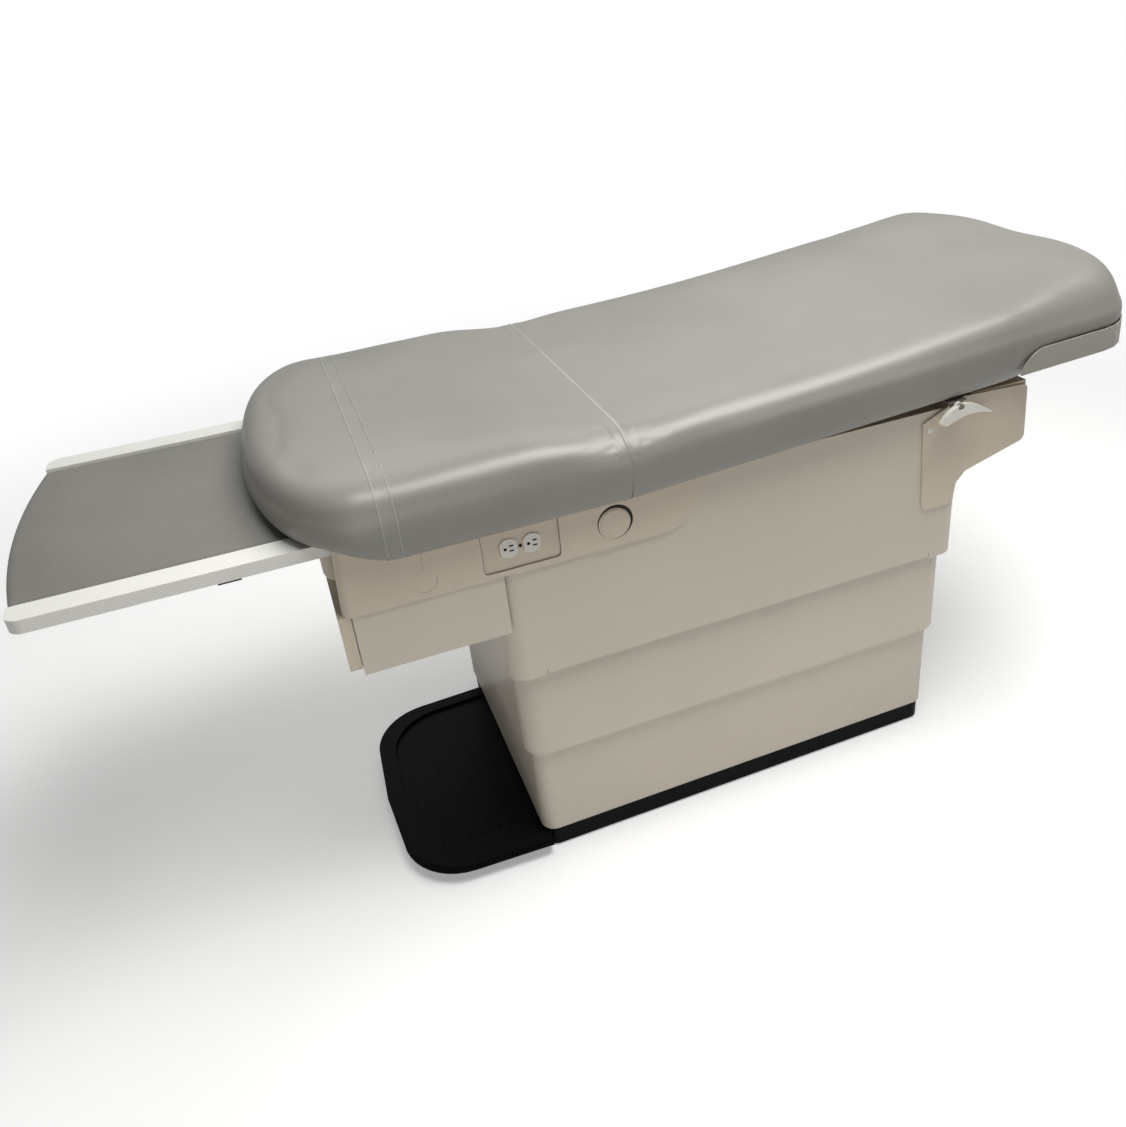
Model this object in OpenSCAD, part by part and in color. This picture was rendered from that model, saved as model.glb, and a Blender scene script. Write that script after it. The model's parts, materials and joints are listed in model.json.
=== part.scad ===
// Powered examination table: telescoping shrouded base, padded top with a
// hinged backrest, pull-out foot extension, drawer, treatment pan and stirrups.
// Frame: origin on the floor below the centre of the body, +X to the head end,
// -Y to the side with the socket outlets, +Z up. Millimetres.

/* [Top] */
// Width of the upholstery
top_w = 711; // [690:1:760]
// Height of the seat surface above the floor as drawn
seat_h = 873; // [850:1:890]
// Seam between seat and backrest, from the body's centre
seam_x = -224; // [-250:1:-200]
// Length of the seat cushion from the seam to its foot end
seat_len = 574; // [550:1:620]
// Length of the back cushion from the seam to its head end
back_len = 1089; // [1040:1:1140]
// Length of the rounded foot end of the seat in plan
foot_nose = 158; // [120:1:180]
// Length of the rounded head end in plan
head_nose = 150; // [110:1:180]
// Radius of the rolled upper edge of the cushions
roll_r = 72; // [50:1:90]
// Crown of the cushions from edge to middle
crown = 7; // [3:0.5:12]
// Height from the boards below the seat cushion to its surface
seat_build = 94; // [88:1:110]
// How far the cushion's side skirts hang below the boards
skirt_drop = 37; // [30:1:40]
// Rise of the back cushion's surface from the seam to the pillow
back_rise = 56; // [40:1:70]
// Extra height of the pillow at the head end
pillow_h = 16; // [8:1:24]
// Sag of the back cushion's surface between seam and pillow
back_sag = 8; // [0:0.5:12]
// Thickness of the cushion boards
board_t = 12; // [9:1:15]

/* [Body] */
// Length of the lowest shroud
body_l = 868; // [820:1:900]
// Width of the lowest shroud
body_w = 580; // [570:1:590]
// Step outwards from one shroud to the next one above it
tier_step = 12; // [10:0.5:13]
// Corner radius of the lowest shroud
corner_r = 28; // [20:1:40]
// Thickness of the shroud walls
skin = 3; // [2:0.5:4]
// Height of the lowest shroud's lower edge
lower_z = 48; // [40:1:56]
// Height of the lowest shroud's wall
lower_h = 262; // [256:1:266]

/* [Lift] */
// Height of the seat surface at its lowest
seat_low = 483; // [480:1:500]
// Height of the seat surface at its highest
seat_high = 940; // [900:1:945]
// How far the middle shroud still covers the lowest one at full height
mid_lap = 28.5; // [22:0.5:34]
// How far the upper shroud still covers the middle one at full height
upper_lap = 43.5; // [38:0.5:50]
// Length of the lowest column stage in plan
col_l = 180; // [160:1:200]
// Width of the lowest column stage in plan
col_w = 120; // [100:1:140]
// Wall of the column tubes
col_t = 4; // [3:0.5:5]
// Radial gap between two column stages
col_gap = 6; // [5:0.5:8]
// Distance of each column from the centre
col_x = 230; // [220:1:250]
// Length of each column stage
col_h = 300; // [290:1:304]

/* [Foot End] */
// Length of the foot overhang beyond the upper shroud
overhang_l = 232; // [200:1:250]
// How far the side panels' lower edge lies below the seat surface
panel_drop = 220.4; // [214:0.2:226]
// How far the drawer housing's underside lies below the side panels
drawer_drop = 112.6; // [100:0.2:120]
// Thickness of the side panels
panel_t = 5; // [4:0.5:6]
// Thickness of the drawer front
front_t = 20; // [14:1:24]
// How far the drawer pulls out
drawer_out = 180; // [120:1:185]
// How far the treatment pan pulls out
pan_out = 180; // [120:1:190]
// How far each stirrup pulls out
stirrup_out = 360; // [300:1:380]

/* [Foot Extension] */
// Width over the extension's side rails
ext_w = 588; // [560:1:590]
// Width of each side rail
rail_w = 46; // [38:1:50]
// Height of each side rail
rail_h = 22; // [18:1:24]
// How far the extension's rails stand out from the seat as drawn
ext_show = 342; // [300:1:360]
// How far the extension slides in
ext_in = 340; // [300:1:342]

/* [Base] */
// Length of the foot platform beyond the lowest shroud
plat_l = 258; // [220:1:280]
// Width of the foot platform
plat_w = 530; // [480:1:560]
// Sideways offset of the platform from the centre
plat_y = -45; // [-50:1:0]
// Height of the foot platform
plat_h = 38; // [30:1:42]

/* [Controls] */
// Diameter of the round push cap in the side panel
cap_d = 56; // [40:1:60]
// Length of the backrest release handle
handle_l = 112; // [90:1:130]

/* [Hidden] */
$fn = 48;

inlet_y = 134;

// Clearances
touch = 0.3;
run = 0.05;
slack = 1;

// Shrouds
half_l = body_l / 2;
half_w = body_w / 2;
lift_down = seat_h - seat_low;
lift_up = seat_high - seat_h;
lower_top = lower_z + lower_h;
mid_z = lower_top - lift_up / 2 - mid_lap;
mid_top = lower_top + lift_down / 2 + 8;
mid_h = mid_top - mid_z;
upper_z = mid_top - lift_up / 2 - upper_lap;
panel_z = seat_h - panel_drop;
drawer_z = panel_z - drawer_drop;
upper_l = half_l + 2 * tier_step;
upper_w = half_w + 2 * tier_step;
mid_l = half_l + tier_step;
mid_w = half_w + tier_step;
upper_top = seat_h - seat_build - 29;
// Lowest level that anything above the shroud walls may reach
low_limit = mid_top + lift_down / 2;
seam_gap = 0.6;

// Boards and cushions
board_z = seat_h - seat_build;
skirt_z = board_z - skirt_drop;
rim_z = board_z + 26;
side_in = upper_w + panel_t + 3;
half_top = top_w / 2;
foot_x = seam_x - seat_len;
head_x = seam_x + back_len;
pivot_r = 16;
pivot_x = seam_x + pivot_r;
seam_z = seat_h - 11;
pivot_z = seam_z - pivot_r;
back_slope = 0.048;
board_a = atan(back_slope);
back_span = 744;
nose_n = 2.2;
low_roll = 22;
seat_round = 8;

// Foot end
over_x = -(upper_l + overhang_l);
deck_t = 3;
deck_z = board_z - 36;
panel_y = upper_w;
bar_s = 18;
bar_z = deck_z - 6 - bar_s;
bar_y = 262;
bay_y = 205;
bay_z = panel_z + 4;

// Foot extension
ext_top = board_z - 2.6;
ext_low = ext_top - rail_h;
rail_end = foot_x - ext_show;
rail_len = 720;
rail_out = ext_w / 2;
rail_in = rail_out - rail_w;
rail_r = rail_w / 2;
pad_bow = 24;
pad_len = 420;

// Backrest hardware
lug_t = 6;
lug_r = 9;
lug_y = 200;
pin_r = 4;
gas_y = 90;
gas_b = [pivot_x + 84, board_z + back_slope * 84 - 18];
gas_a = [pivot_x + 40, gas_b[1] - 210];
gas_tilt = atan2(gas_b[0] - gas_a[0], gas_b[1] - gas_a[1]);
gas_len = norm(gas_b - gas_a);

// Head cover
cover_end = 590;
cover_top = board_z - 14;

// Smooth step from 0 to 1 as x goes from a to b
function ease(x, a, b) = let (t = min(1, max(0, (x - a) / (b - a)))) t * t * (3 - 2 * t);
// Quarter-round rise from 0 to 1 over an inset of 0 to 1
function dome(t) = sqrt(1 - pow(1 - min(1, max(0, t)), 2));
// Half width of a rounded end: u runs from 0 where it starts to 1 at its tip
function end_w(u) = half_top * pow(max(0, 1 - pow(min(1, max(0, u)), nose_n)), 1 / nose_n);
// Points of an arc in the plane, centre c, radius r, from angle a to b
function arc(c, r, a, b, n = 8) = [for (i = [0:n]) c + r * [cos(a + (b - a) * i / n), sin(a + (b - a) * i / n)]];

// Height of the seat's surface along its length
function seat_line(x) = seat_h - (seat_h - seam_z) * ease(x, seam_x - 170, seam_x);
// Height of the back cushion's surface along its length
function back_line(x) = let (t = (x - seam_x) / back_span)
    seam_z + back_rise * t + pillow_h * ease(x, head_x - 365, head_x - 165)
    - back_sag * sin(180 * min(1, max(0, t)));
// Height of the back board's underside along its length
function back_floor(x) = board_z + back_slope * (x - pivot_x);
// Lower edge of the side skirts
function seat_skirt(x) = skirt_z + (board_z - 1 - skirt_z) * ease(-x, -foot_x - 198, -foot_x - 82);
function back_skirt(x) = skirt_z + 0.056 * (x - seam_x)
    + (back_floor(x) - skirt_z - 0.056 * (x - seam_x)) * ease(x, head_x - 335, head_x - 225);
function back_rim(x) = rim_z + 0.06 * (x - seam_x);

// Distance inwards from the rounded plan outline, u is the share of the nose
function inset(u, nose, y) = u <= 0 ? half_top - abs(y)
    : let (g = pow(pow(abs(y) / half_top, nose_n) + pow(u, nose_n), 1 / nose_n))
      (1 - min(1, g)) * norm([u * nose, y]) / max(g, 0.001);

// One section across a cushion as a closed loop of [y, z]
// w half width, d(y) inset, top(y) surface, mid rim level, low skirt level, in recess level
function y_steps(w) = let (r = min(roll_r, 0.8 * w))
    concat([for (k = [0:6]) w - r * (1 - cos(15 * k))], [(w - r) * 0.66, (w - r) * 0.33]);
function upper_pts(w, u, nose, surf, mid, q) = [for (y = y_steps(w))
    [y, mid + (surf - crown * pow(y / half_top, 2) - mid) * min(dome(inset(u, nose, y) / roll_r), q)]];
function lower_pts(w, u, nose, mid, low, inner) = let (r = min(low_roll, 0.3 * w), e = min(side_in, w - r - 0.5))
    concat([for (k = [1:3]) let (y = w - r * (1 - cos(30 * k)))
        [y, mid - (mid - low) * dome(inset(u, nose, y) / low_roll)]],
        [for (q = [[e, low], [e - 3, max(inner, low + 0.4)], [e * 0.5, max(inner, low + 0.4)]])
            [q[0], mid - (mid - q[1]) * dome(inset(u, nose, q[0]) / low_roll)]]);
function flip(p) = [for (i = [len(p) - 1:-1:0]) [-p[i][0], p[i][1]]];
function section(w, u, nose, surf, mid, low, inner, q = 1) = let (
    a = upper_pts(w, u, nose, surf, mid, q), b = lower_pts(w, u, nose, mid, low, inner),
    end = inset(u, nose, 0),
    peak = mid + (surf - mid) * min(dome(end / roll_r), q),
    base = mid - (mid - max(inner, low + 0.4)) * dome(end / low_roll))
    concat(a, [[0, peak]], flip(a), [for (p = b) [-p[0], p[1]]],
           [[0, base]], [for (i = [len(b) - 1:-1:0]) b[i]]);

// Skin over sections at stations xs; the last one closes on a tip point
module loft(xs, loops, tip) {
    n = len(loops[0]);
    m = len(xs);
    pts = concat([for (i = [0:m - 1]) for (p = loops[i]) [xs[i], p[0], p[1]]], [tip]);
    s = tip[0] > xs[0] ? 1 : -1;
    ring = [for (i = [0:m - 2]) for (j = [0:n - 1]) let (k = (j + 1) % n)
        each [[i * n + j, i * n + k, (i + 1) * n + j], [i * n + k, (i + 1) * n + k, (i + 1) * n + j]]];
    fan = [for (j = [0:n - 1]) [(m - 1) * n + j, (m - 1) * n + (j + 1) % n, m * n]];
    // Strip of triangles over the first section, upper points to lower ones
    strip = [for (i = [0:len(up_row) - 1]) [up_row[i], low_row[i], next_row[i]]];
    other = [for (f = strip) [mirror_pt(f[0]), mirror_pt(f[2]), mirror_pt(f[1])]];
    turn = [for (f = concat(ring, fan, strip, other)) s > 0 ? f : [f[0], f[2], f[1]]];
    polyhedron(points = pts, faces = turn, convexity = 6);
}
// Corners of that strip on one half of a section of 32 points, and their twins on the other half
up_row = [0, 1, 1, 2, 2, 3, 3, 4, 4, 5, 6, 6, 7, 8, 8];
low_row = [31, 31, 30, 30, 29, 29, 28, 28, 27, 27, 27, 26, 26, 26, 25];
next_row = [1, 30, 2, 29, 3, 28, 4, 27, 5, 6, 26, 7, 8, 25, 9];
function mirror_pt(i) = i < 19 ? 18 - i : 50 - i;

module box(a, b) translate(a) cube(b - a);
module mirror_y() { children(); mirror([0, 1, 0]) children(); }
// Extrude an XZ outline towards +Y from y0 over t
module slab(y0, t) translate([0, y0 + t, 0]) rotate([90, 0, 0]) linear_extrude(t) children();
module rod_y(x, z, r, y0, y1) translate([x, y0, z]) rotate([-90, 0, 0]) cylinder(r = r, h = y1 - y0);

// Rectangle with round corners in plan
module round_rect(l, w, r) {
    square([2 * l - 2 * r, 2 * w], center = true);
    square([2 * l, 2 * w - 2 * r], center = true);
    for (i = [-1, 1], j = [-1, 1]) translate([i * (l - r), j * (w - r)]) circle(r);
}

module tier(l, w, r, z, h) {
    translate([0, 0, z]) linear_extrude(h) difference() {
        round_rect(l, w, r);
        round_rect(l - skin, w - skin, r - skin);
    }
}
// Half of a shroud: side is -1 for the near half and 1 for the far half
module half_tier(l, w, r, z, h, side) {
    intersection() {
        tier(l, w, r, z, h);
        box([-l - 1, side > 0 ? seam_gap / 2 : -w - 1, z - 1], [l + 1, side > 0 ? w + 1 : -seam_gap / 2, z + h + 1]);
    }
}

/* Base */
base_in_l = half_l - 10 - touch;
base_in_w = half_w - 10 - touch;
module base_frame() {
    color([0.12, 0.12, 0.13]) difference() {
        translate([0, 0, 6]) linear_extrude(14) round_rect(base_in_l, base_in_w, corner_r - 10 - touch);
        for (i = [-1, 1], j = [-1, 1])
            translate([i * (half_l - 40), j * (half_w - 40), 5]) cylinder(r = 5 + run, h = 20);
    }
    // Middle pad that rests on the floor below the centre
    color([0.12, 0.12, 0.13]) cylinder(r = 26, h = 6);
}
module levelling_feet() {
    color([0.1, 0.1, 0.1]) for (i = [-1, 1], j = [-1, 1])
        translate([i * (half_l - 40), j * (half_w - 40), 0]) {
            cylinder(r1 = 17, r2 = 19, h = 2);
            translate([0, 0, 2]) cylinder(r = 19, h = 4);
            cylinder(r = 5, h = 22);
        }
}
// Black skirt under the lowest shroud with an upstand inside its lower edge
module base_skirt() color([0.08, 0.08, 0.09]) {
    translate([0, 0, lower_z - touch - 0.1]) linear_extrude(14) difference() {
        round_rect(half_l - skin - touch, half_w - skin - touch, corner_r - skin);
        round_rect(half_l - 8, half_w - 8, corner_r - 8);
    }
    translate([0, 0, 4]) linear_extrude(lower_z - 4 - touch) difference() {
        round_rect(half_l - 4, half_w - 4, corner_r - 4);
        round_rect(half_l - 10, half_w - 10, corner_r - 10);
        translate([-half_l - 1, -half_w]) square([13 - touch, half_w + plat_y + plat_w / 2 - 2 + touch]);
        translate([half_l - 12, inlet_y - 25]) square([12, 50]);
    }
}

// Half plan outline of the platform: a tapering plate with round corners
function plat_edge(inset_by, s) = let (x0 = -half_l - plat_l, r = 118, w = plat_w / 2)
    [for (p = concat([[-half_l + 10, -w + 2]], arc([x0 + r, -w + r + 8], r, 268, 188, 9)))
        [p[0] + inset_by * (p[0] < -half_l ? 0.9 : 0), s * (p[1] + inset_by)]];
module plat_plan(i) translate([0, plat_y])
    polygon(concat(plat_edge(i, 1), [[-half_l - plat_l - 8 + i, 0]],
        [for (k = [len(plat_edge(i, -1)) - 1:-1:0]) plat_edge(i, -1)[k]]));
module foot_platform() {
    color([0.06, 0.06, 0.07]) difference() {
        union() {
            hull() {
                translate([0, 0, 6]) linear_extrude(0.4) plat_plan(22);
                translate([0, 0, plat_h - 9]) linear_extrude(0.4) plat_plan(0);
            }
            for (k = [0:5]) translate([0, 0, plat_h - 9 + 1.5 * k]) linear_extrude(1.5)
                plat_plan(9 * (1 - cos(15 * k)));
        }
        translate([0, 0, plat_h - 7]) linear_extrude(20) plat_plan(34);
        translate([0, 0, 0]) linear_extrude(plat_h - 12) intersection() {
            plat_plan(30);
            translate([-half_l - 600, -500]) square([600, 1000]);
        }
    }
    // Ribs of the non-slip tread in the dished top
    color([0.05, 0.05, 0.06]) for (k = [0:9])
        box([-half_l - 40 - 19 * k, plat_y - plat_w / 2 + 90, plat_h - 7.2], [-half_l - 34 - 19 * k, plat_y + plat_w / 2 - 90, plat_h - 5.6]);
}

/* Lower shroud */
module shroud_lower(side) half_tier(half_l, half_w, corner_r, lower_z, lower_h, side);
module shroud_lower_near() color([0.78, 0.74, 0.67]) shroud_lower(-1);
module shroud_lower_far() color([0.78, 0.74, 0.67]) shroud_lower(1);
// Appliance inlet in the skirt at the head end, lying on its side
module power_inlet() translate([half_l, inlet_y, 20 + 12]) {
    color([0.1, 0.1, 0.1]) difference() {
        union() {
            box([-31, -14, -11], [-5, 14, 11]);
            box([-7, -24.5, -12], [-3, 24.5, 12]);
        }
        box([-22, -12, -8], [-2, 12, 8]);
        for (i = [-1, 1]) translate([-8, 20 * i, 0]) rotate([0, 90, 0]) cylinder(r = 1.6, h = 6);
    }
    color([0.8, 0.7, 0.4]) for (k = [-1, 0, 1]) box([-22.5, 7 * k - 1, 1.5 * abs(k) - 3], [-8, 7 * k + 1, 1.5 * abs(k) + 1]);
}

// Two round heads over the end seams of a shroud
module seam_screws(l, z) color([0.72, 0.7, 0.66]) for (s = [-1, 1]) translate([s * l, 0, z]) rotate([0, 90 * s, 0]) {
    cylinder(r = 5, h = 1);
    translate([0, 0, 1]) cylinder(r1 = 5, r2 = 3, h = 0.8);
}
module seam_screws_lower() seam_screws(half_l, lower_z + 16);
module seam_screws_mid() seam_screws(mid_l, mid_z + 30);
module seam_screws_upper() seam_screws(upper_l, upper_z + 26);

/* Lift columns */
// One stage of both columns, k steps in from the lowest
module column(k, z, h) for (s = [-1, 1]) translate([s * col_x, 0, z]) linear_extrude(h) difference() {
    square([col_l - 2 * k * (col_t + col_gap), col_w - 2 * k * (col_t + col_gap)], center = true);
    square([col_l - 2 * k * (col_t + col_gap) - 2 * col_t, col_w - 2 * k * (col_t + col_gap) - 2 * col_t], center = true);
}
col_low = 20;
col_mid = col_low + 6 + lift_down / 2;
col_up = col_low + 12 + lift_down;
module column_lower() color([0.55, 0.56, 0.58]) column(0, col_low, lower_top - 2 - col_low);
module column_mid() color([0.7, 0.71, 0.73]) column(1, col_mid, col_h);
module column_upper() color([0.8, 0.81, 0.83]) column(2, col_up, deck_z - col_up);
// Plastic glide strips round the foot of stage k
module glides(k, z) color([0.15, 0.15, 0.15]) for (s = [-1, 1], i = [-1, 1]) {
    l = col_l / 2 - k * (col_t + col_gap);
    w = col_w / 2 - k * (col_t + col_gap);
    t = col_gap - touch;
    translate([s * col_x, 0, z]) {
        box([i * (l + t / 2) - t / 2, -w + 10, 4], [i * (l + t / 2) + t / 2, w - 10, 40]);
        box([-l + 14, i * (w + t / 2) - t / 2, 4], [l - 14, i * (w + t / 2) + t / 2, 40]);
    }
}
module column_glides_mid() glides(1, col_mid);
module column_glides_upper() glides(2, col_up);
// Arms from the middle columns out to the middle shroud, above the lower shroud
module mid_hangers() color([0.3, 0.3, 0.31]) for (s = [-1, 1]) mirror_y() {
    w = col_w / 2 - col_t - col_gap;
    box([s * col_x - 20, -mid_w + skin, mid_top - 6], [s * col_x + 20, -w, mid_top]);
    box([s * col_x - 20, -mid_w + skin, mid_top - 46], [s * col_x + 20, -mid_w + skin + 3, mid_top]);
}
module lift_motor() {
    color([0.3, 0.31, 0.33]) {
        box([-60, -225, 20], [60, -120, 34]);
        box([-50, -215, 34], [-6, -130, 104]);
        translate([-6, -172, 70]) rotate([0, 90, 0]) cylinder(r = 33, h = 78);
        translate([72, -172, 70]) rotate([0, 90, 0]) cylinder(r = 27, h = 10);
        translate([-28, -172, 104]) cylinder(r = 16, h = 12);
    }
}

/* Middle shroud */
module shroud_mid_near() color([0.78, 0.74, 0.67]) half_tier(mid_l, mid_w, corner_r + tier_step, mid_z, mid_h, -1);
module shroud_mid_far() color([0.78, 0.74, 0.67]) half_tier(mid_l, mid_w, corner_r + tier_step, mid_z, mid_h, 1);

/* Upper shroud: its end walls stop below the foot bays and the head cover */
upper_r = corner_r + 6;
notch_x = upper_l - 64;
module upper_half(side) difference() {
    half_tier(upper_l, upper_w, upper_r, upper_z - 4, upper_top - upper_z + 4, side);
    // The flat side's hem lies a little higher than the corners
    box([-notch_x, -upper_w - 1, upper_z - 5], [notch_x, upper_w + 1, upper_z]);
    for (s = [-1, 1]) box([s * notch_x - 1.2, -upper_w - 1, upper_z - 1], [s * notch_x + 1.2, upper_w + 1, upper_z + 9]);
    box([-upper_l - 1, -upper_w + upper_r, panel_z - 2], [upper_l + 1, upper_w - upper_r, upper_top + 1]);
    for (s = [-1, 1]) box([s * (upper_l - upper_r / 2) - upper_r / 2 - 1, -upper_w + skin, low_limit + 3], [s * (upper_l - upper_r / 2) + upper_r / 2 + 1, upper_w - skin, upper_top + 1]);
}
// Turned-in top edge beside the backrest
module top_hem() box([pivot_x + 60, -upper_w + 1, upper_top - skin], [upper_l - upper_r, -upper_w + 34, upper_top]);
module shroud_upper_near() color([0.79, 0.75, 0.68]) difference() {
    union() {
        upper_half(-1);
        top_hem();
    }
    cap_hole(-upper_w - 1, -upper_w + skin + 1);
    box([out_x - 42, -upper_w - 1, out_z - 24], [out_x + 42, -upper_w + 24, out_z + 24]);
}
module shroud_upper_far() color([0.79, 0.75, 0.68]) {
    upper_half(1);
    mirror([0, 1, 0]) top_hem();
}

/* Frame of the top: a folded deck with side flanges */
flange_y = upper_w - skin;
module top_frame() color([0.2, 0.2, 0.21]) difference() {
    union() {
        box([over_x + 14, -flange_y, deck_z], [cover_end - 14, flange_y, deck_z + deck_t]);
        mirror_y() box([over_x + 14, -flange_y, low_limit + 4], [cover_end - 14, -flange_y + 3, deck_z + deck_t]);
        // Uprights that carry the hinge bar
        mirror_y() slab(-flange_y, 6) polygon([[pivot_x - 34, deck_z], [pivot_x + 34, deck_z],
            [pivot_x + 9, board_z - 2], [pivot_x + 9, board_z + 10], [pivot_x - 11, board_z + 10], [pivot_x - 11, board_z - 2]]);
        // Cross supports of the seat board beside the sliding rails
        mirror_y() for (x = [foot_x + 130, seam_x - 60])
            box([x, -flange_y, deck_z], [x + 30, -flange_y + 5, board_z - touch]);
    }
    // Opening for the gas spring
    box([gas_a[0] - 10, gas_y - 22, deck_z - 1], [gas_b[0] + 70, gas_y + 22, deck_z + deck_t + 1]);
    // Window behind the socket outlets
    box([out_x - 42, -flange_y - 1, low_limit], [out_x + 42, -flange_y + 4, out_z + 24]);
}

/* Head cover: side plates that reach past the shroud to carry the back */
function cover_side() = concat(
    arc([cover_end - 18, cover_top - 18], 12, 90, 8, 4),
    arc([cover_end - 14, cover_top - 110], 14, 0, -68, 5),
    [[459, cover_top - 156], [440, cover_top - 176]],
    arc([424, cover_top - 206], 12, 0, -90, 4),
    arc([378, cover_top - 204], 14, 270, 180, 4),
    [[354, cover_top - 36], [436, cover_top]]);
module head_cover() color([0.77, 0.73, 0.66]) {
    mirror_y() slab(-upper_w - panel_t + 1, panel_t - 1 - 0) polygon(cover_side());
    difference() {
        box([upper_l + 2, -upper_w, cover_top - 92], [cover_end - 8, upper_w, cover_top]);
        box([upper_l + 1, -upper_w + 3, cover_top - 93], [cover_end - 11, upper_w - 3, cover_top + 1]);
    }
    mirror_y() box([upper_l + 2, -upper_w, cover_top - 3], [cover_end - 11, -upper_w + 38, cover_top]);
}
bump_x = 530;
module rest_bumpers() color([0.1, 0.1, 0.1]) for (s = [-1, 1]) translate([bump_x, s * (lug_y + 13), deck_z + deck_t]) {
    cylinder(r = 16, h = 5);
    cylinder(r = 11, h = back_floor(bump_x - 11) - 22.4 - deck_z - deck_t);
}

/* Side panels with their round head end and turned-in foot edge */
panel_head = seam_x + 136;
panel_foot = over_x - 12;
foot_round = 14;
panel_top = board_z - 9;
module panel_outline() polygon(concat(
    [[panel_foot, panel_z], [panel_foot + 7, panel_top], [panel_head, panel_top], [panel_head, panel_z + 78]],
    arc([panel_head - 78, panel_z + 78], 78, 0, -90, 12)));
out_x = -411;
out_z = panel_z + 48;
cap_x = -250;
cap_z = panel_z + 44;
plug_x = -569;
plug_z = panel_z + 29;
module outlet_window(g) {
    translate([out_x - 64 - g, out_z - 30]) square([130 + 2 * g, 200]);
    translate([out_x - 56, out_z - 38 - g]) square([114, 60]);
    for (i = [0, 1]) translate([out_x - 56 + 114 * i, out_z - 30]) circle(8 + g);
}
module panel_base(side) slab(side < 0 ? -panel_y - panel_t : panel_y, panel_t) panel_outline();
module foot_return(side) translate([0, side < 0 ? -panel_y : panel_y - 13, 0])
    slab(0, 13) polygon([[panel_foot, panel_z], [panel_foot + 7, panel_top], [panel_foot + 17, panel_top],
        [panel_foot + 10, panel_z]]);
// What the round foot corner takes off, along the edge's slant
module foot_corner() translate([panel_foot, -panel_y - panel_t, panel_z]) rotate([0, atan2(7, panel_top - panel_z), 0])
    translate([0, 0, -6]) linear_extrude(panel_top - panel_z + 12)
        polygon(concat([[foot_round, -3]], arc([foot_round, foot_round], foot_round, 270, 180, 8), [[-3, foot_round], [-3, -3]]));
module side_panel_near() color([0.8, 0.76, 0.69]) difference() {
    union() {
        panel_base(-1);
        foot_return(-1);
    }
    foot_corner();
    slab(-panel_y - panel_t - 1, 4.6) outlet_window(0);
    slab(-panel_y - panel_t - 1, panel_t + 2) translate([out_x - 36, out_z - 20]) square([72, 40]);
    cap_hole(-panel_y - panel_t - 1, -panel_y + 1);
    rod_y(plug_x, plug_z, 19 + touch, -panel_y - panel_t - 1, -panel_y + 1);
    box([plug_x - 0.8, -panel_y - panel_t - 1, plug_z + 24], [plug_x + 0.8, -panel_y - panel_t + 1.5, panel_top + 1]);
}
module side_panel_far() color([0.8, 0.76, 0.69]) difference() {
    union() {
        panel_base(1);
        foot_return(1);
    }
    mirror([0, 1, 0]) foot_corner();
}
module outlet_plate() color([0.8, 0.76, 0.69]) slab(-panel_y - panel_t + 2.4, 1.2) difference() {
    intersection() {
        outlet_window(-0.5);
        translate([out_x - 80, out_z - 60]) square([160, panel_top - out_z + 60]);
    }
    for (s = [-1, 1]) translate([out_x + s * 19.5, out_z]) intersection() {
        circle(17.4 + touch);
        square([29 + 2 * touch, 40], center = true);
    }
    translate([out_x, out_z]) circle(2);
}
// Two round sockets flattened at their sides, one strap and three slots each
module duplex_outlet() {
    y = -panel_y - panel_t;
    color([0.9, 0.88, 0.82]) difference() {
        union() {
            for (s = [-1, 1]) slab(y + 0.4, 9) translate([out_x + s * 19.5, out_z]) intersection() {
                circle(17.4);
                square([29, 40], center = true);
            }
            box([out_x - 35, y + 3.6 + touch, out_z - 16], [out_x + 35, y + 11, out_z + 16]);
        }
        for (s = [-1, 1]) slab(y, 6) translate([out_x + s * 19.5, out_z]) {
            translate([4.4, 4.6]) square([6.6, 1.8], center = true);
            translate([4.4, -4.6]) square([6.6, 1.8], center = true);
            translate([-6, 0]) circle(2.4);
        }
        rod_y(out_x, out_z, 1.7, y, y + 9);
    }
    color([0.75, 0.74, 0.7]) rod_y(out_x, out_z, 1.6, y + 1.0, y + 9);
}
// Round hole for the cap, set a little up and towards the head so a dark crescent shows
module cap_hole(y0, y1) rod_y(cap_x + 2, cap_z + 2, cap_d / 2 + 3.4, y0, y1);
module blanking_plug() color([0.79, 0.75, 0.68]) {
    rod_y(plug_x, plug_z, 19, -panel_y - panel_t + 0.6, -panel_y);
    rod_y(plug_x, plug_z, 22, -panel_y, -panel_y + 2);
}
cap_travel = 3;
module push_cap() color([0.8, 0.77, 0.7]) {
    rod_y(cap_x, cap_z, cap_d / 2, -panel_y - panel_t - 1.5, -panel_y - 1);
    rod_y(cap_x, cap_z, cap_d / 2 - 3, -panel_y - panel_t - 2.5, -panel_y - panel_t - 1.5);
}

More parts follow.
